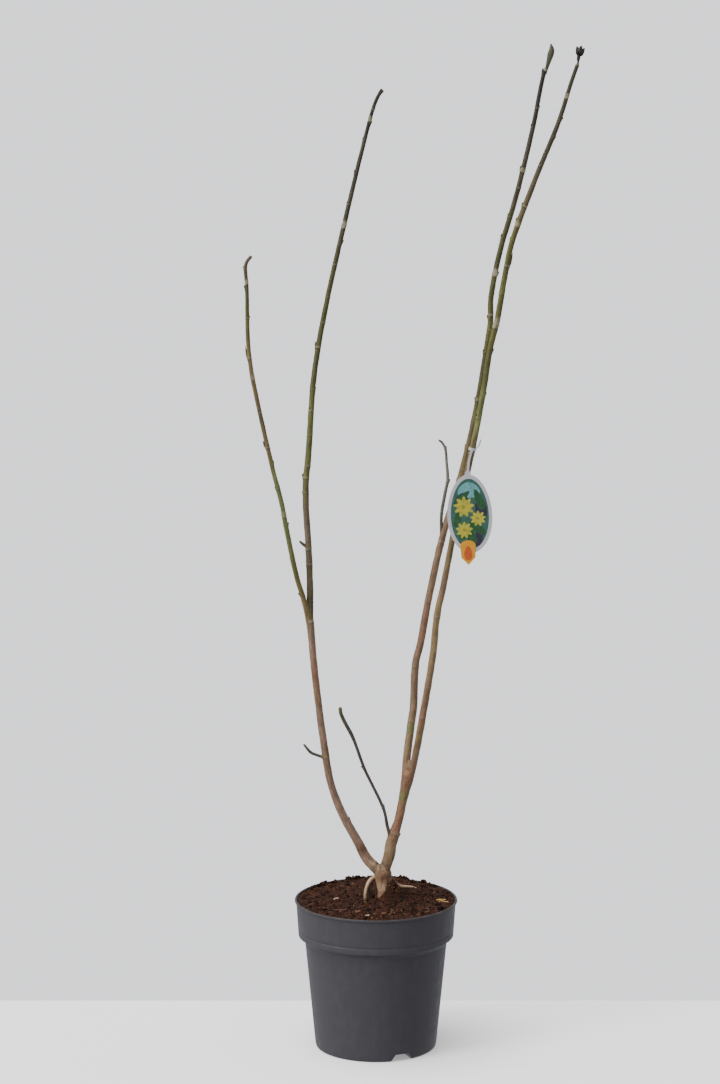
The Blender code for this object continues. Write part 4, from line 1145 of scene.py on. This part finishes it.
def strew(name, kind, scatter, materials):
    """Join many small shapes into one piece. Each is (place, size, turn, material number)."""
    shapes = [rough_shape(kind, number) for number in range(4)]
    points = []
    faces = []
    picks = []
    start = 0
    for number, (place, size, turn, pick) in enumerate(scatter):
        shape, sides = shapes[number % len(shapes)]
        points.append(shape * np.array(size) @ np.array(turn.to_matrix()).T + np.array(place))
        faces += [[corner + start for corner in side] for side in sides]
        picks += [pick] * len(sides)
        start += len(shape)
    mesh = bpy.data.meshes.new(name)
    mesh.from_pydata(np.concatenate(points).tolist(), [], faces)
    mesh.polygons.foreach_set("material_index", picks)
    mesh.update()
    finish_mesh(mesh, materials, "compost")


def on_compost(draw, margin, sink):
    """A random place on the compost, clear of the trunk and sunk a little."""
    while True:
        radius = (COMPOST_RADIUS - margin) * math.sqrt(draw.random())
        angle = draw.uniform(0, 2 * math.pi)
        x, y = radius * math.cos(angle), radius * math.sin(angle)
        if math.hypot(x - FOOT_PLACE[0], y - FOOT_PLACE[1]) > FOOT_RADIUS:
            return (x, y, compost_height(x, y) - sink)


def make_litter(sizes, soils, barks, fibres):
    """Crumbs, bark chips and coir fibres that lie loose on the compost, and the few large ones in view."""
    draw = random.Random(SEED)
    crumbs = []
    for _ in range(sizes.crumbs):
        size = 1.6 * MM + 6.0 * MM * draw.random() ** 3
        turn = Euler([draw.uniform(0, 6.3) for _ in range(3)])
        shape = [size * draw.uniform(0.7, 1.3) for _ in range(3)]
        tone = draw.choices(range(len(soils)), CRUMB_SHARES)[0]
        place = on_compost(draw, 1.5 * MM + size / 2, size * 0.12)
        if place[1] > BACK_CRUMBS_BEHIND and draw.random() < 0.4:
            tone = 2
        crumbs.append((place, shape, turn, tone))
    for number in range(BACK_CRUMBS):
        angle = math.radians(draw.uniform(35, 150))
        radius = COMPOST_RADIUS - draw.uniform(1, 6) * MM
        size = draw.uniform(3, 8) * MM
        x, y = radius * math.cos(angle), radius * math.sin(angle)
        turn = Euler([draw.uniform(0, 6.3) for _ in range(3)])
        crumbs.append(((x, y, compost_height(x, y) + 0.3 * size), [size] * 3, turn, number % 3))
    for number in range(MOUND_CRUMBS):
        angle = draw.uniform(0, 2 * math.pi)
        radius = MOUND[2] * math.sqrt(draw.random())
        size = draw.uniform(1.5, 4) * MM
        x, y = MOUND[0] + radius * math.cos(angle), MOUND[1] + radius * math.sin(angle)
        turn = Euler([draw.uniform(0, 6.3) for _ in range(3)])
        crumbs.append(((x, y, compost_height(x, y)), [size] * 3, turn, draw.choices((1, 2, 3), (3, 4, 3))[0]))
    strew("compost_crumbs", "crumb", crumbs, soils)

    chips = []
    for _ in range(sizes.chips):
        long = draw.uniform(2.5, 8) * MM
        place = on_compost(draw, 5 * MM, 0)
        tone = draw.choices(range(len(barks)), CHIP_SHARES)[0]
        if place[1] < FRONT_CHIPS_BEHIND and draw.random() < 0.4:
            tone = 2
        turn = Euler((draw.uniform(-0.5, 0.5), draw.uniform(-0.4, 0.4), draw.uniform(0, 6.3)))
        chips.append((place, (long, long * draw.uniform(0.2, 0.5), long * draw.uniform(0.08, 0.2)), turn, tone))
    for x, y, long, wide, bearing, tone in LARGE_CHIPS:
        turn = Euler((0.1, -0.08, math.radians(bearing)))
        chips.append(((x, y, compost_height(x, y) + MM), (long, wide, wide * 0.4), turn, tone))
    strew("bark_chips", "chip", chips, barks)

    threads = []
    for _ in range(sizes.fibres):
        long = draw.uniform(6, 20) * MM
        turn = Euler((draw.uniform(0, 6.3), draw.uniform(-0.25, 0.25), draw.uniform(0, 6.3)))
        place = on_compost(draw, 9 * MM, -0.6 * MM)
        threads.append((place, (long, 0.35 * MM, 0.35 * MM), turn, draw.choices((0, 1), (3, 1))[0]))
    for x, y, long, wide, bearing in STRAWS:
        turn = Euler((0, -0.06, math.radians(bearing)))
        threads.append(((x, y, compost_height(x, y) + 1.5 * MM), (long, wide, wide), turn, 2))
    strew("coir_fibres", "fibre", threads, fibres)


def plastic_material(colours):
    """Injection-moulded polypropylene, grey through and through: half matt, with dust and faint flow marks."""
    material, tree, shader = new_material("moulded_grey_polypropylene", 0.5, Specular_IOR_Level=0.14)
    place = add_node(tree, "TexCoord").outputs["Object"]
    drift = drifting(tree, place, {"flow": (9, 160, 2), "dust": (14, 22, 5), "grain": (0.5, 0.5, 2)})
    base = colours.pot
    pale = tuple(channel * 1.15 + 0.006 for channel in base[:3]) + (1,)
    film = add_node(tree, "MapRange", {"Value": drift["dust"], "From Min": 0.45, "From Max": 0.75, "To Min": 0.0,
                                       "To Max": 0.5})
    dusty = add_node(tree, "MixRGB", {"Fac": film.outputs["Result"], "Color1": base, "Color2": pale})
    flow = add_node(tree, "MapRange", {"Value": drift["flow"], "From Min": 0.3, "From Max": 0.7, "To Min": 0.97,
                                       "To Max": 1.03})
    flowing = add_node(tree, "MixRGB", {"Fac": 1.0, "Color1": dusty.outputs["Color"],
                                        "Color2": flow.outputs["Result"]}, blend_type="MULTIPLY")

    # Compost rubbed along the lip, in patches.
    height = add_node(tree, "SeparateXYZ", {"Vector": place}).outputs["Z"]
    near_lip = add_node(tree, "MapRange", {"Value": height, "From Min": POT_HEIGHT - 1.4 * MM,
                                           "From Max": POT_HEIGHT - 0.4 * MM, "To Min": 0.0, "To Max": 0.8})
    patchy = add_node(tree, "MapRange", {"Value": drift["dust"], "From Min": 0.4, "From Max": 0.6, "To Min": 0.25,
                                         "To Max": 1.0})
    rubbed = add_node(tree, "Math", {0: near_lip.outputs["Result"], 1: patchy.outputs["Result"]},
                      operation="MULTIPLY")
    stained = add_node(tree, "MixRGB", {"Fac": rubbed.outputs[0], "Color1": flowing.outputs["Color"],
                                        "Color2": linear("#2a1f19")})
    tree.links.new(stained.outputs["Color"], shader.inputs["Base Color"])
    gloss = add_node(tree, "MapRange", {"Value": drift["dust"], "From Min": 0.35, "From Max": 0.75, "To Min": 0.40,
                                        "To Max": 0.62})
    tree.links.new(gloss.outputs["Result"], shader.inputs["Roughness"])
    relief = add_node(tree, "Bump", {"Height": drift["grain"], "Distance": 0.03 * MM, "Strength": 0.5})
    tree.links.new(relief.outputs["Normal"], shader.inputs["Normal"])
    return material


def soil_material(name, dark, pale, size, roughness=0.95):
    """Milled peat and composted bark, kept moist: dark and crumbly, with redder bits in it."""
    material, tree, shader = new_material(name, roughness, Specular_IOR_Level=0.12)
    place = add_node(tree, "TexCoord").outputs["Object"]
    drift = drifting(tree, place, {"bits": (size, size, 4), "patches": (size * 7, size * 7, 2)})
    both = add_node(tree, "Math", {0: drift["bits"], 1: drift["patches"]}, operation="ADD")
    share = add_node(tree, "MapRange", {"Value": both.outputs[0], "From Min": 0.8, "From Max": 1.3})
    tones = add_node(tree, "MixRGB", {"Fac": share.outputs["Result"], "Color1": linear(dark),
                                      "Color2": linear(pale)})
    tree.links.new(tones.outputs["Color"], shader.inputs["Base Color"])
    relief = add_node(tree, "Bump", {"Height": drift["bits"], "Distance": size * 0.3 * MM, "Strength": 1.0})
    tree.links.new(relief.outputs["Normal"], shader.inputs["Normal"])
    return material


def print_material(name, colour, spread=0.12):
    """Printed and varnished card: even ink with a slight drift of tone under a soft gloss."""
    material, tree, shader = new_material(name, 0.35, Specular_IOR_Level=0.4)
    place = add_node(tree, "TexCoord").outputs["Object"]
    drift = drifting(tree, place, {"ink": (3, 5, 3)})
    shade = add_node(tree, "MapRange", {"Value": drift["ink"], "From Min": 0.3, "From Max": 0.7,
                                        "To Min": 1 - spread, "To Max": 1 + spread})
    inked = add_node(tree, "MixRGB", {"Fac": 1.0, "Color1": colour, "Color2": shade.outputs["Result"]},
                     blend_type="MULTIPLY")
    tree.links.new(inked.outputs["Color"], shader.inputs["Base Color"])
    return material


def hang(place, y):
    """The matrix that hangs a flat shape upright at (x, z), leaning with the card. Its +Z faces the front."""
    turn = Matrix.Rotation(-CARD_LEAN, 4, "Y") @ Matrix.Rotation(math.pi / 2, 4, "X")
    return Matrix.Translation((place[0], y, place[1])) @ turn


def plate(target, outline, low, high, material, edge=0):
    """Add a flat plate with this outline between two levels, with its front edge rounded."""
    bm = bmesh.new()
    bmesh.ops.create_circle(bm, cap_ends=True, segments=len(outline), radius=1)
    bm.verts.ensure_lookup_table()
    for vert, (x, y) in zip(bm.verts, outline):
        vert.co = (x, y, low)
    raised = bmesh.ops.extrude_face_region(bm, geom=bm.faces[:])["geom"]
    top = [item for item in raised if isinstance(item, bmesh.types.BMVert)]
    bmesh.ops.translate(bm, verts=top, vec=(0, 0, high - low))
    bmesh.ops.recalc_face_normals(bm, faces=bm.faces[:])
    if edge:
        rim = [item for item in bm.edges if all(vert in set(top) for vert in item.verts)]
        bmesh.ops.bevel(bm, geom=rim, offset=edge, affect="EDGES", segments=2, profile=0.5, material=-1)
    for face in bm.faces:
        face.material_index = material
    add_to(target, bm)


def egg(width, height, steps=72):
    """The card's egg shape, a little wider low down."""
    points = []
    for step in range(steps):
        angle = -2 * math.pi * step / steps
        wide = width * (1 - CARD_TAPER * math.cos(angle))
        points.append((wide / 2 * math.sin(angle), height / 2 * math.cos(angle)))
    return points


def petal(x, y, bearing, length, width, tip=0.55):
    """A leaf or petal outline that starts at (x, y) and points along a bearing, widest at the tip share."""
    points = []
    for step in range(20):
        turn = 2 * math.pi * step / 20
        along = (1 - math.cos(turn)) / 2
        across = math.sin(turn) * width / 2 * (1 - (along - tip) * 0.6)
        angle = math.radians(bearing)
        points.append((x + along * length * math.cos(angle) + across * math.sin(angle),
                       y + along * length * math.sin(angle) - across * math.cos(angle)))
    return points


def make_label(colours):
    """The hanging oval card with a generic blossom print, and its strap. The plain plaque on its lower edge is made by
    make_plaque.
    """
    card = print_material("milky_card_border", colours.border, 0.04)
    field = print_material("printed_teal", linear("#244a3f"), 0.3)
    dusk = print_material("printed_dusk", linear("#1d1b2c"), 0.2)
    leaf = print_material("printed_green", linear("#153f1e"), 0.4)
    bloom = print_material("printed_yellow", linear("#8e8826"), 0.3)
    heart = print_material("printed_gold", linear("#7a6f10"), 0.2)
    sky = print_material("printed_sky", linear("#4f8182"), 0.3)
    rings = limb_rings("right_outer")
    centre = Vector([float(np.interp(STRAP_HEIGHT, rings.path[:, 2], axis)) for axis in rings.path.T])
    ring = int(np.searchsorted(rings.path[:, 2], STRAP_HEIGHT))
    along = Vector(rings.path[ring] - rings.path[ring - 1])
    front = centre.y - STRAP_RADIUS + 0.2 * MM
    face = CARD_THICKNESS / 2

    bm = bmesh.new()
    plate(bm, egg(CARD_WIDTH, CARD_HEIGHT), -face, face, 0, edge=0.25 * MM)
    plate(bm, egg(CARD_WIDTH - 11 * MM, CARD_HEIGHT - 13 * MM), face, face + PRINT_LAYER, 1)
    prints = [(petal(0, 0.026, 90, 0.026, 0.034), 6)]
    prints += [(petal(x, y, bearing, length, width), 2) for x, y, bearing, length, width in DUSK_PATCHES]
    prints += [(petal(x, y, bearing, length, width), 3) for x, y, bearing, length, width in PRINTED_LEAVES]
    for x, y, size in BLOSSOMS:
        prints += [(petal(x, y, 40 * number + 8, size / 2, size * 0.22), 4) for number in range(9)]
        prints.append((petal(x - size * 0.09, y, 0, size * 0.18, size * 0.18, tip=0.5), 5))
    for number, (outline, ink) in enumerate(prints):
        plate(bm, outline, face, face + (1.2 + 0.06 * number) * PRINT_LAYER, ink)
    plate(bm, petal(0, CARD_HEIGHT / 2 - 6 * MM, 90, 0.014, 0.012, tip=0.2), -face * 0.8, face * 0.8, 0)
    bmesh.ops.transform(bm, verts=bm.verts[:], matrix=hang(CARD_PLACE, front))

    # The strap: a band round the bough, a tail down to the card and its spare end.
    band = bmesh.new()
    half = STRAP_WIDTH / 2
    corners = [(STRAP_RADIUS - CARD_THICKNESS, -half), (STRAP_RADIUS, -half), (STRAP_RADIUS, half),
               (STRAP_RADIUS - CARD_THICKNESS, half)]
    points = [band.verts.new((radius, 0, height)) for radius, height in corners]
    edges = [band.edges.new(pair) for pair in zip(points, points[1:] + points[:1])]
    bmesh.ops.spin(band, geom=points + edges, cent=(0, 0, 0), axis=(0, 0, 1), angle=2 * math.pi, steps=40,
                   use_merge=True)
    bmesh.ops.recalc_face_normals(band, faces=band.faces[:])
    bmesh.ops.transform(band, verts=band.verts[:],
                        matrix=Matrix.Translation(centre) @ along.to_track_quat("Z", "Y").to_matrix().to_4x4())
    add_to(bm, band)
    neck = hang(CARD_PLACE, front) @ Vector((0, CARD_HEIGHT / 2 + 4 * MM, 0))
    ribbon(bm, [neck, neck.lerp(centre, 0.5) + Vector((-0.002, -0.003, 0)),
                Vector((centre.x - 0.001, front - 0.0004, centre.z))], NECK_WIDTH)
    ribbon(bm, [Vector((centre.x + 0.004, front + 0.001, centre.z)), Vector((centre.x + 0.010, front, centre.z + 0.006)),
                Vector((centre.x + 0.013, front, centre.z + 0.016))], NECK_WIDTH * 0.7)
    finish_piece("hanging_label", bm, (card, field, dusk, leaf, bloom, heart, sky), "label", "label_card")


def ribbon(target, bends, width):
    """Add a flat strip bent through points, with its flat side to the front."""
    path = smooth_path([tuple(bend) for bend in bends], 2 * MM)
    bm = bmesh.new()
    bmesh.ops.create_cube(bm, size=1)
    uprights = [edge for edge in bm.edges if abs(edge.verts[0].co.z - edge.verts[1].co.z) > 0.5]
    bmesh.ops.subdivide_edges(bm, edges=uprights, cuts=len(path) - 2, use_grid_fill=True)
    for vert in bm.verts:
        ring = round((vert.co.z + 0.5) * (len(path) - 1))
        centre = Vector(path[ring])
        vert.co = centre + Vector((vert.co.x * width, vert.co.y * CARD_THICKNESS, 0))
    add_to(target, bm)


def make_plaque(colours):
    """A plain yellow plaque with a raised rim and an orange boss, stuck on the card's lower edge."""
    yellow = print_material("pressed_yellow_card", colours.plaque, 0.1)
    orange = print_material("pressed_orange_card", linear("#9c420c"), 0.15)
    half = BADGE_WIDTH / 2
    foot = -BADGE_HEIGHT / 2
    head = [(half * math.cos(math.radians(180 - 12 * step)),
             half * 0.7 * math.sin(math.radians(180 - 12 * step)) + BADGE_HEIGHT * 0.27) for step in range(16)]
    outline = head + [(half * 0.92, foot * 0.4), (0, foot), (-half * 0.92, foot * 0.4)]
    card_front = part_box("label_badge")
    middle = (card_front[0].y + card_front[1].y) / 2
    bm = bmesh.new()
    plate(bm, outline[::-1], -CARD_THICKNESS / 2, CARD_THICKNESS * 0.3, 0, edge=0.2 * MM)
    inner = [(x * 0.84, (y - 0.004) * 0.84 + 0.004) for x, y in outline[::-1]]
    plate(bm, inner, CARD_THICKNESS * 0.2, CARD_THICKNESS * 0.38, 0)
    plate(bm, petal(0, -0.013, 90, 0.024, 0.013, tip=0.5), CARD_THICKNESS * 0.3, CARD_THICKNESS * 0.5, 1, edge=0.1 * MM)
    bmesh.ops.transform(bm, verts=bm.verts[:], matrix=hang(BADGE_PLACE, middle))
    finish_piece("label_plaque", bm, (yellow, orange), "badge", "label_badge")


def stage_material(colours):
    """Matt pale board with a painted glow: its emission lifts the floor's shadows under the pot and in its notches, so
    they stay pale, even and soft.
    """
    material, tree, shader = new_material("matt_board_with_painted_glow", 0.6, Emission_Strength=0.45)
    place = add_node(tree, "TexCoord").outputs["Object"]
    drift = drifting(tree, place, {"cloud": (500, 500, 2)})
    shade = add_node(tree, "MapRange", {"Value": drift["cloud"], "To Min": 0.96, "To Max": 1.04})
    even = add_node(tree, "MixRGB", {"Fac": 1.0, "Color1": colours.floor, "Color2": shade.outputs["Result"]},
                    blend_type="MULTIPLY")
    tree.links.new(even.outputs["Color"], shader.inputs["Base Color"])
    # Painted glow: the floor's colour is also its emission, which brightens its shadows.
    tree.links.new(even.outputs["Color"], shader.inputs["Emission Color"])
    return material


class MAGNOLIA_OT_lower_wood(bpy.types.Operator):
    """Grow the trunk, its roots and the two stems together"""
    bl_idname = "magnolia.lower_wood"
    bl_label = "Trunk and stems"

    def execute(self, context):
        make_lower_wood(bark_material())
        return {"FINISHED"}


class MAGNOLIA_OT_boughs(bpy.types.Operator):
    """Make the boughs and the twigs with their buds"""
    bl_idname = "magnolia.boughs"
    bl_label = "Boughs and twigs"

    def execute(self, context):
        bark = bpy.data.materials["living_magnolia_bark"]
        for node, limb_name, slot in STRETCHES:
            make_stretch(node, limb_name, slot, bark)
        return {"FINISHED"}


class MAGNOLIA_OT_tips(bpy.types.Operator):
    """Make the fat terminal bud and the withered head"""
    bl_idname = "magnolia.tips"
    bl_label = "Bud and withered head"

    def execute(self, context):
        make_tall_bud(fur_material())
        make_withered_head(dry_material())
        return {"FINISHED"}


class MAGNOLIA_OT_pot(bpy.types.Operator):
    """Mould the pot"""
    bl_idname = "magnolia.pot"
    bl_label = "Pot"

    def execute(self, context):
        make_pot(plastic_material(context.scene.magnolia_colours))
        return {"FINISHED"}


class MAGNOLIA_OT_compost(bpy.types.Operator):
    """Fill the pot with compost and strew crumbs, chips and fibres on it"""
    bl_idname = "magnolia.compost"
    bl_label = "Compost"

    def execute(self, context):
        make_compost_bed(soil_material("moist_bark_compost", "#190d08", "#3a2115", 2.6))
        soils = [soil_material("compost_crumb_" + name, dark, pale, 0.8) for name, dark, pale in CRUMB_TONES]
        barks = [soil_material("bark_chip_" + name, dark, pale, 1.5, 0.8) for name, dark, pale in CHIP_TONES]
        fibres = [soil_material("coir_" + name, dark, pale, 3, 0.7) for name, dark, pale in FIBRE_TONES]
        make_litter(context.scene.magnolia_sizes, soils, barks, fibres)
        return {"FINISHED"}


class MAGNOLIA_OT_label(bpy.types.Operator):
    """Hang the label with its plaque"""
    bl_idname = "magnolia.label"
    bl_label = "Label"

    def execute(self, context):
        make_label(context.scene.magnolia_colours)
        make_plaque(context.scene.magnolia_colours)
        return {"FINISHED"}


class MAGNOLIA_OT_stage(bpy.types.Operator):
    """Set the pale floor, the soft studio light and the camera"""
    bl_idname = "magnolia.stage"
    bl_label = "Stage"

    def execute(self, context):
        scene = context.scene
        colours = scene.magnolia_colours
        sizes = scene.magnolia_sizes
        bm = bmesh.new()
        bmesh.ops.create_grid(bm, x_segments=1, y_segments=1, size=FLOOR_REACH)
        bmesh.ops.translate(bm, verts=bm.verts[:], vec=(0, sizes.floor_back - FLOOR_REACH, 0))
        mesh = bpy.data.meshes.new("floor")
        bm.to_mesh(mesh)
        bm.free()
        mesh.materials.append(stage_material(colours))
        floor = bpy.data.objects.new("floor", mesh)
        floor.visible_diffuse = False
        floor.visible_glossy = False
        scene.collection.objects.link(floor)
        world = bpy.data.worlds.new("studio")
        scene.world = world
        world.use_nodes = True
        tree = world.node_tree
        ambient = tree.nodes["Background"]
        ambient.inputs["Color"].default_value = colours.backdrop
        ambient.inputs["Strength"].default_value = AMBIENT_STRENGTH
        backdrop = add_node(tree, "Background", {"Color": colours.backdrop, "Strength": BACKDROP_STRENGTH})
        seen = add_node(tree, "LightPath").outputs["Is Camera Ray"]
        both = add_node(tree, "MixShader", {0: seen, 1: ambient.outputs[0], 2: backdrop.outputs[0]})
        tree.links.new(both.outputs[0], tree.nodes["World Output"].inputs["Surface"])
        for name, kind, place, power in (("key", "AREA", KEY_PLACE, sizes.key_power),
                                         ("fill", "AREA", FILL_PLACE, sizes.fill_power),
                                         ("top", "SUN", TOP_PLACE, sizes.top_strength)):
            lamp = bpy.data.lights.new(name, kind)
            lamp.energy = power
            if kind == "AREA":
                lamp.size = LIGHT_SIZE
            else:
                lamp.angle = TOP_SPREAD
            lamp_object = bpy.data.objects.new(name, lamp)
            lamp_object.location = place
            aim = Vector(LIGHT_AIM) - Vector(place)
            lamp_object.rotation_euler = aim.to_track_quat("-Z", "Y").to_euler()
            scene.collection.objects.link(lamp_object)
        camera = bpy.data.cameras.new("camera")
        camera.lens = CAMERA_LENS
        camera.sensor_width = SENSOR_WIDTH
        camera_object = bpy.data.objects.new("camera", camera)
        camera_object.location = CAMERA_PLACE
        camera_object.rotation_euler = (math.pi / 2 - CAMERA_PITCH, 0, 0)
        scene.collection.objects.link(camera_object)
        scene.camera = camera_object
        return {"FINISHED"}


class MAGNOLIA_PT_panel(bpy.types.Panel):
    """Lists the magnolia's pieces, sizes and colours"""
    bl_idname = "MAGNOLIA_PT_panel"
    bl_label = "River magnolia"
    bl_space_type = "VIEW_3D"
    bl_region_type = "UI"
    bl_category = "Magnolia"

    def draw(self, context):
        for operator in STEPS:
            self.layout.operator(operator.bl_idname)
        for settings in (context.scene.magnolia_sizes, context.scene.magnolia_colours):
            for name in settings.__annotations__:
                self.layout.prop(settings, name)


STEPS = (MAGNOLIA_OT_lower_wood, MAGNOLIA_OT_boughs, MAGNOLIA_OT_tips, MAGNOLIA_OT_pot, MAGNOLIA_OT_compost,
         MAGNOLIA_OT_label, MAGNOLIA_OT_stage)
CLASSES = (MagnoliaColours, MagnoliaSizes, *STEPS, MAGNOLIA_PT_panel)


def register():
    for item in CLASSES:
        bpy.utils.register_class(item)
    bpy.types.Scene.magnolia_colours = bpy.props.PointerProperty(type=MagnoliaColours)
    bpy.types.Scene.magnolia_sizes = bpy.props.PointerProperty(type=MagnoliaSizes)


def unregister():
    del bpy.types.Scene.magnolia_sizes
    del bpy.types.Scene.magnolia_colours
    for item in reversed(CLASSES):
        bpy.utils.unregister_class(item)


def main():
    register()
    for operator in STEPS:
        group, name = operator.bl_idname.split(".")
        getattr(getattr(bpy.ops, group), name)()


if __name__ == "__main__":
    main()
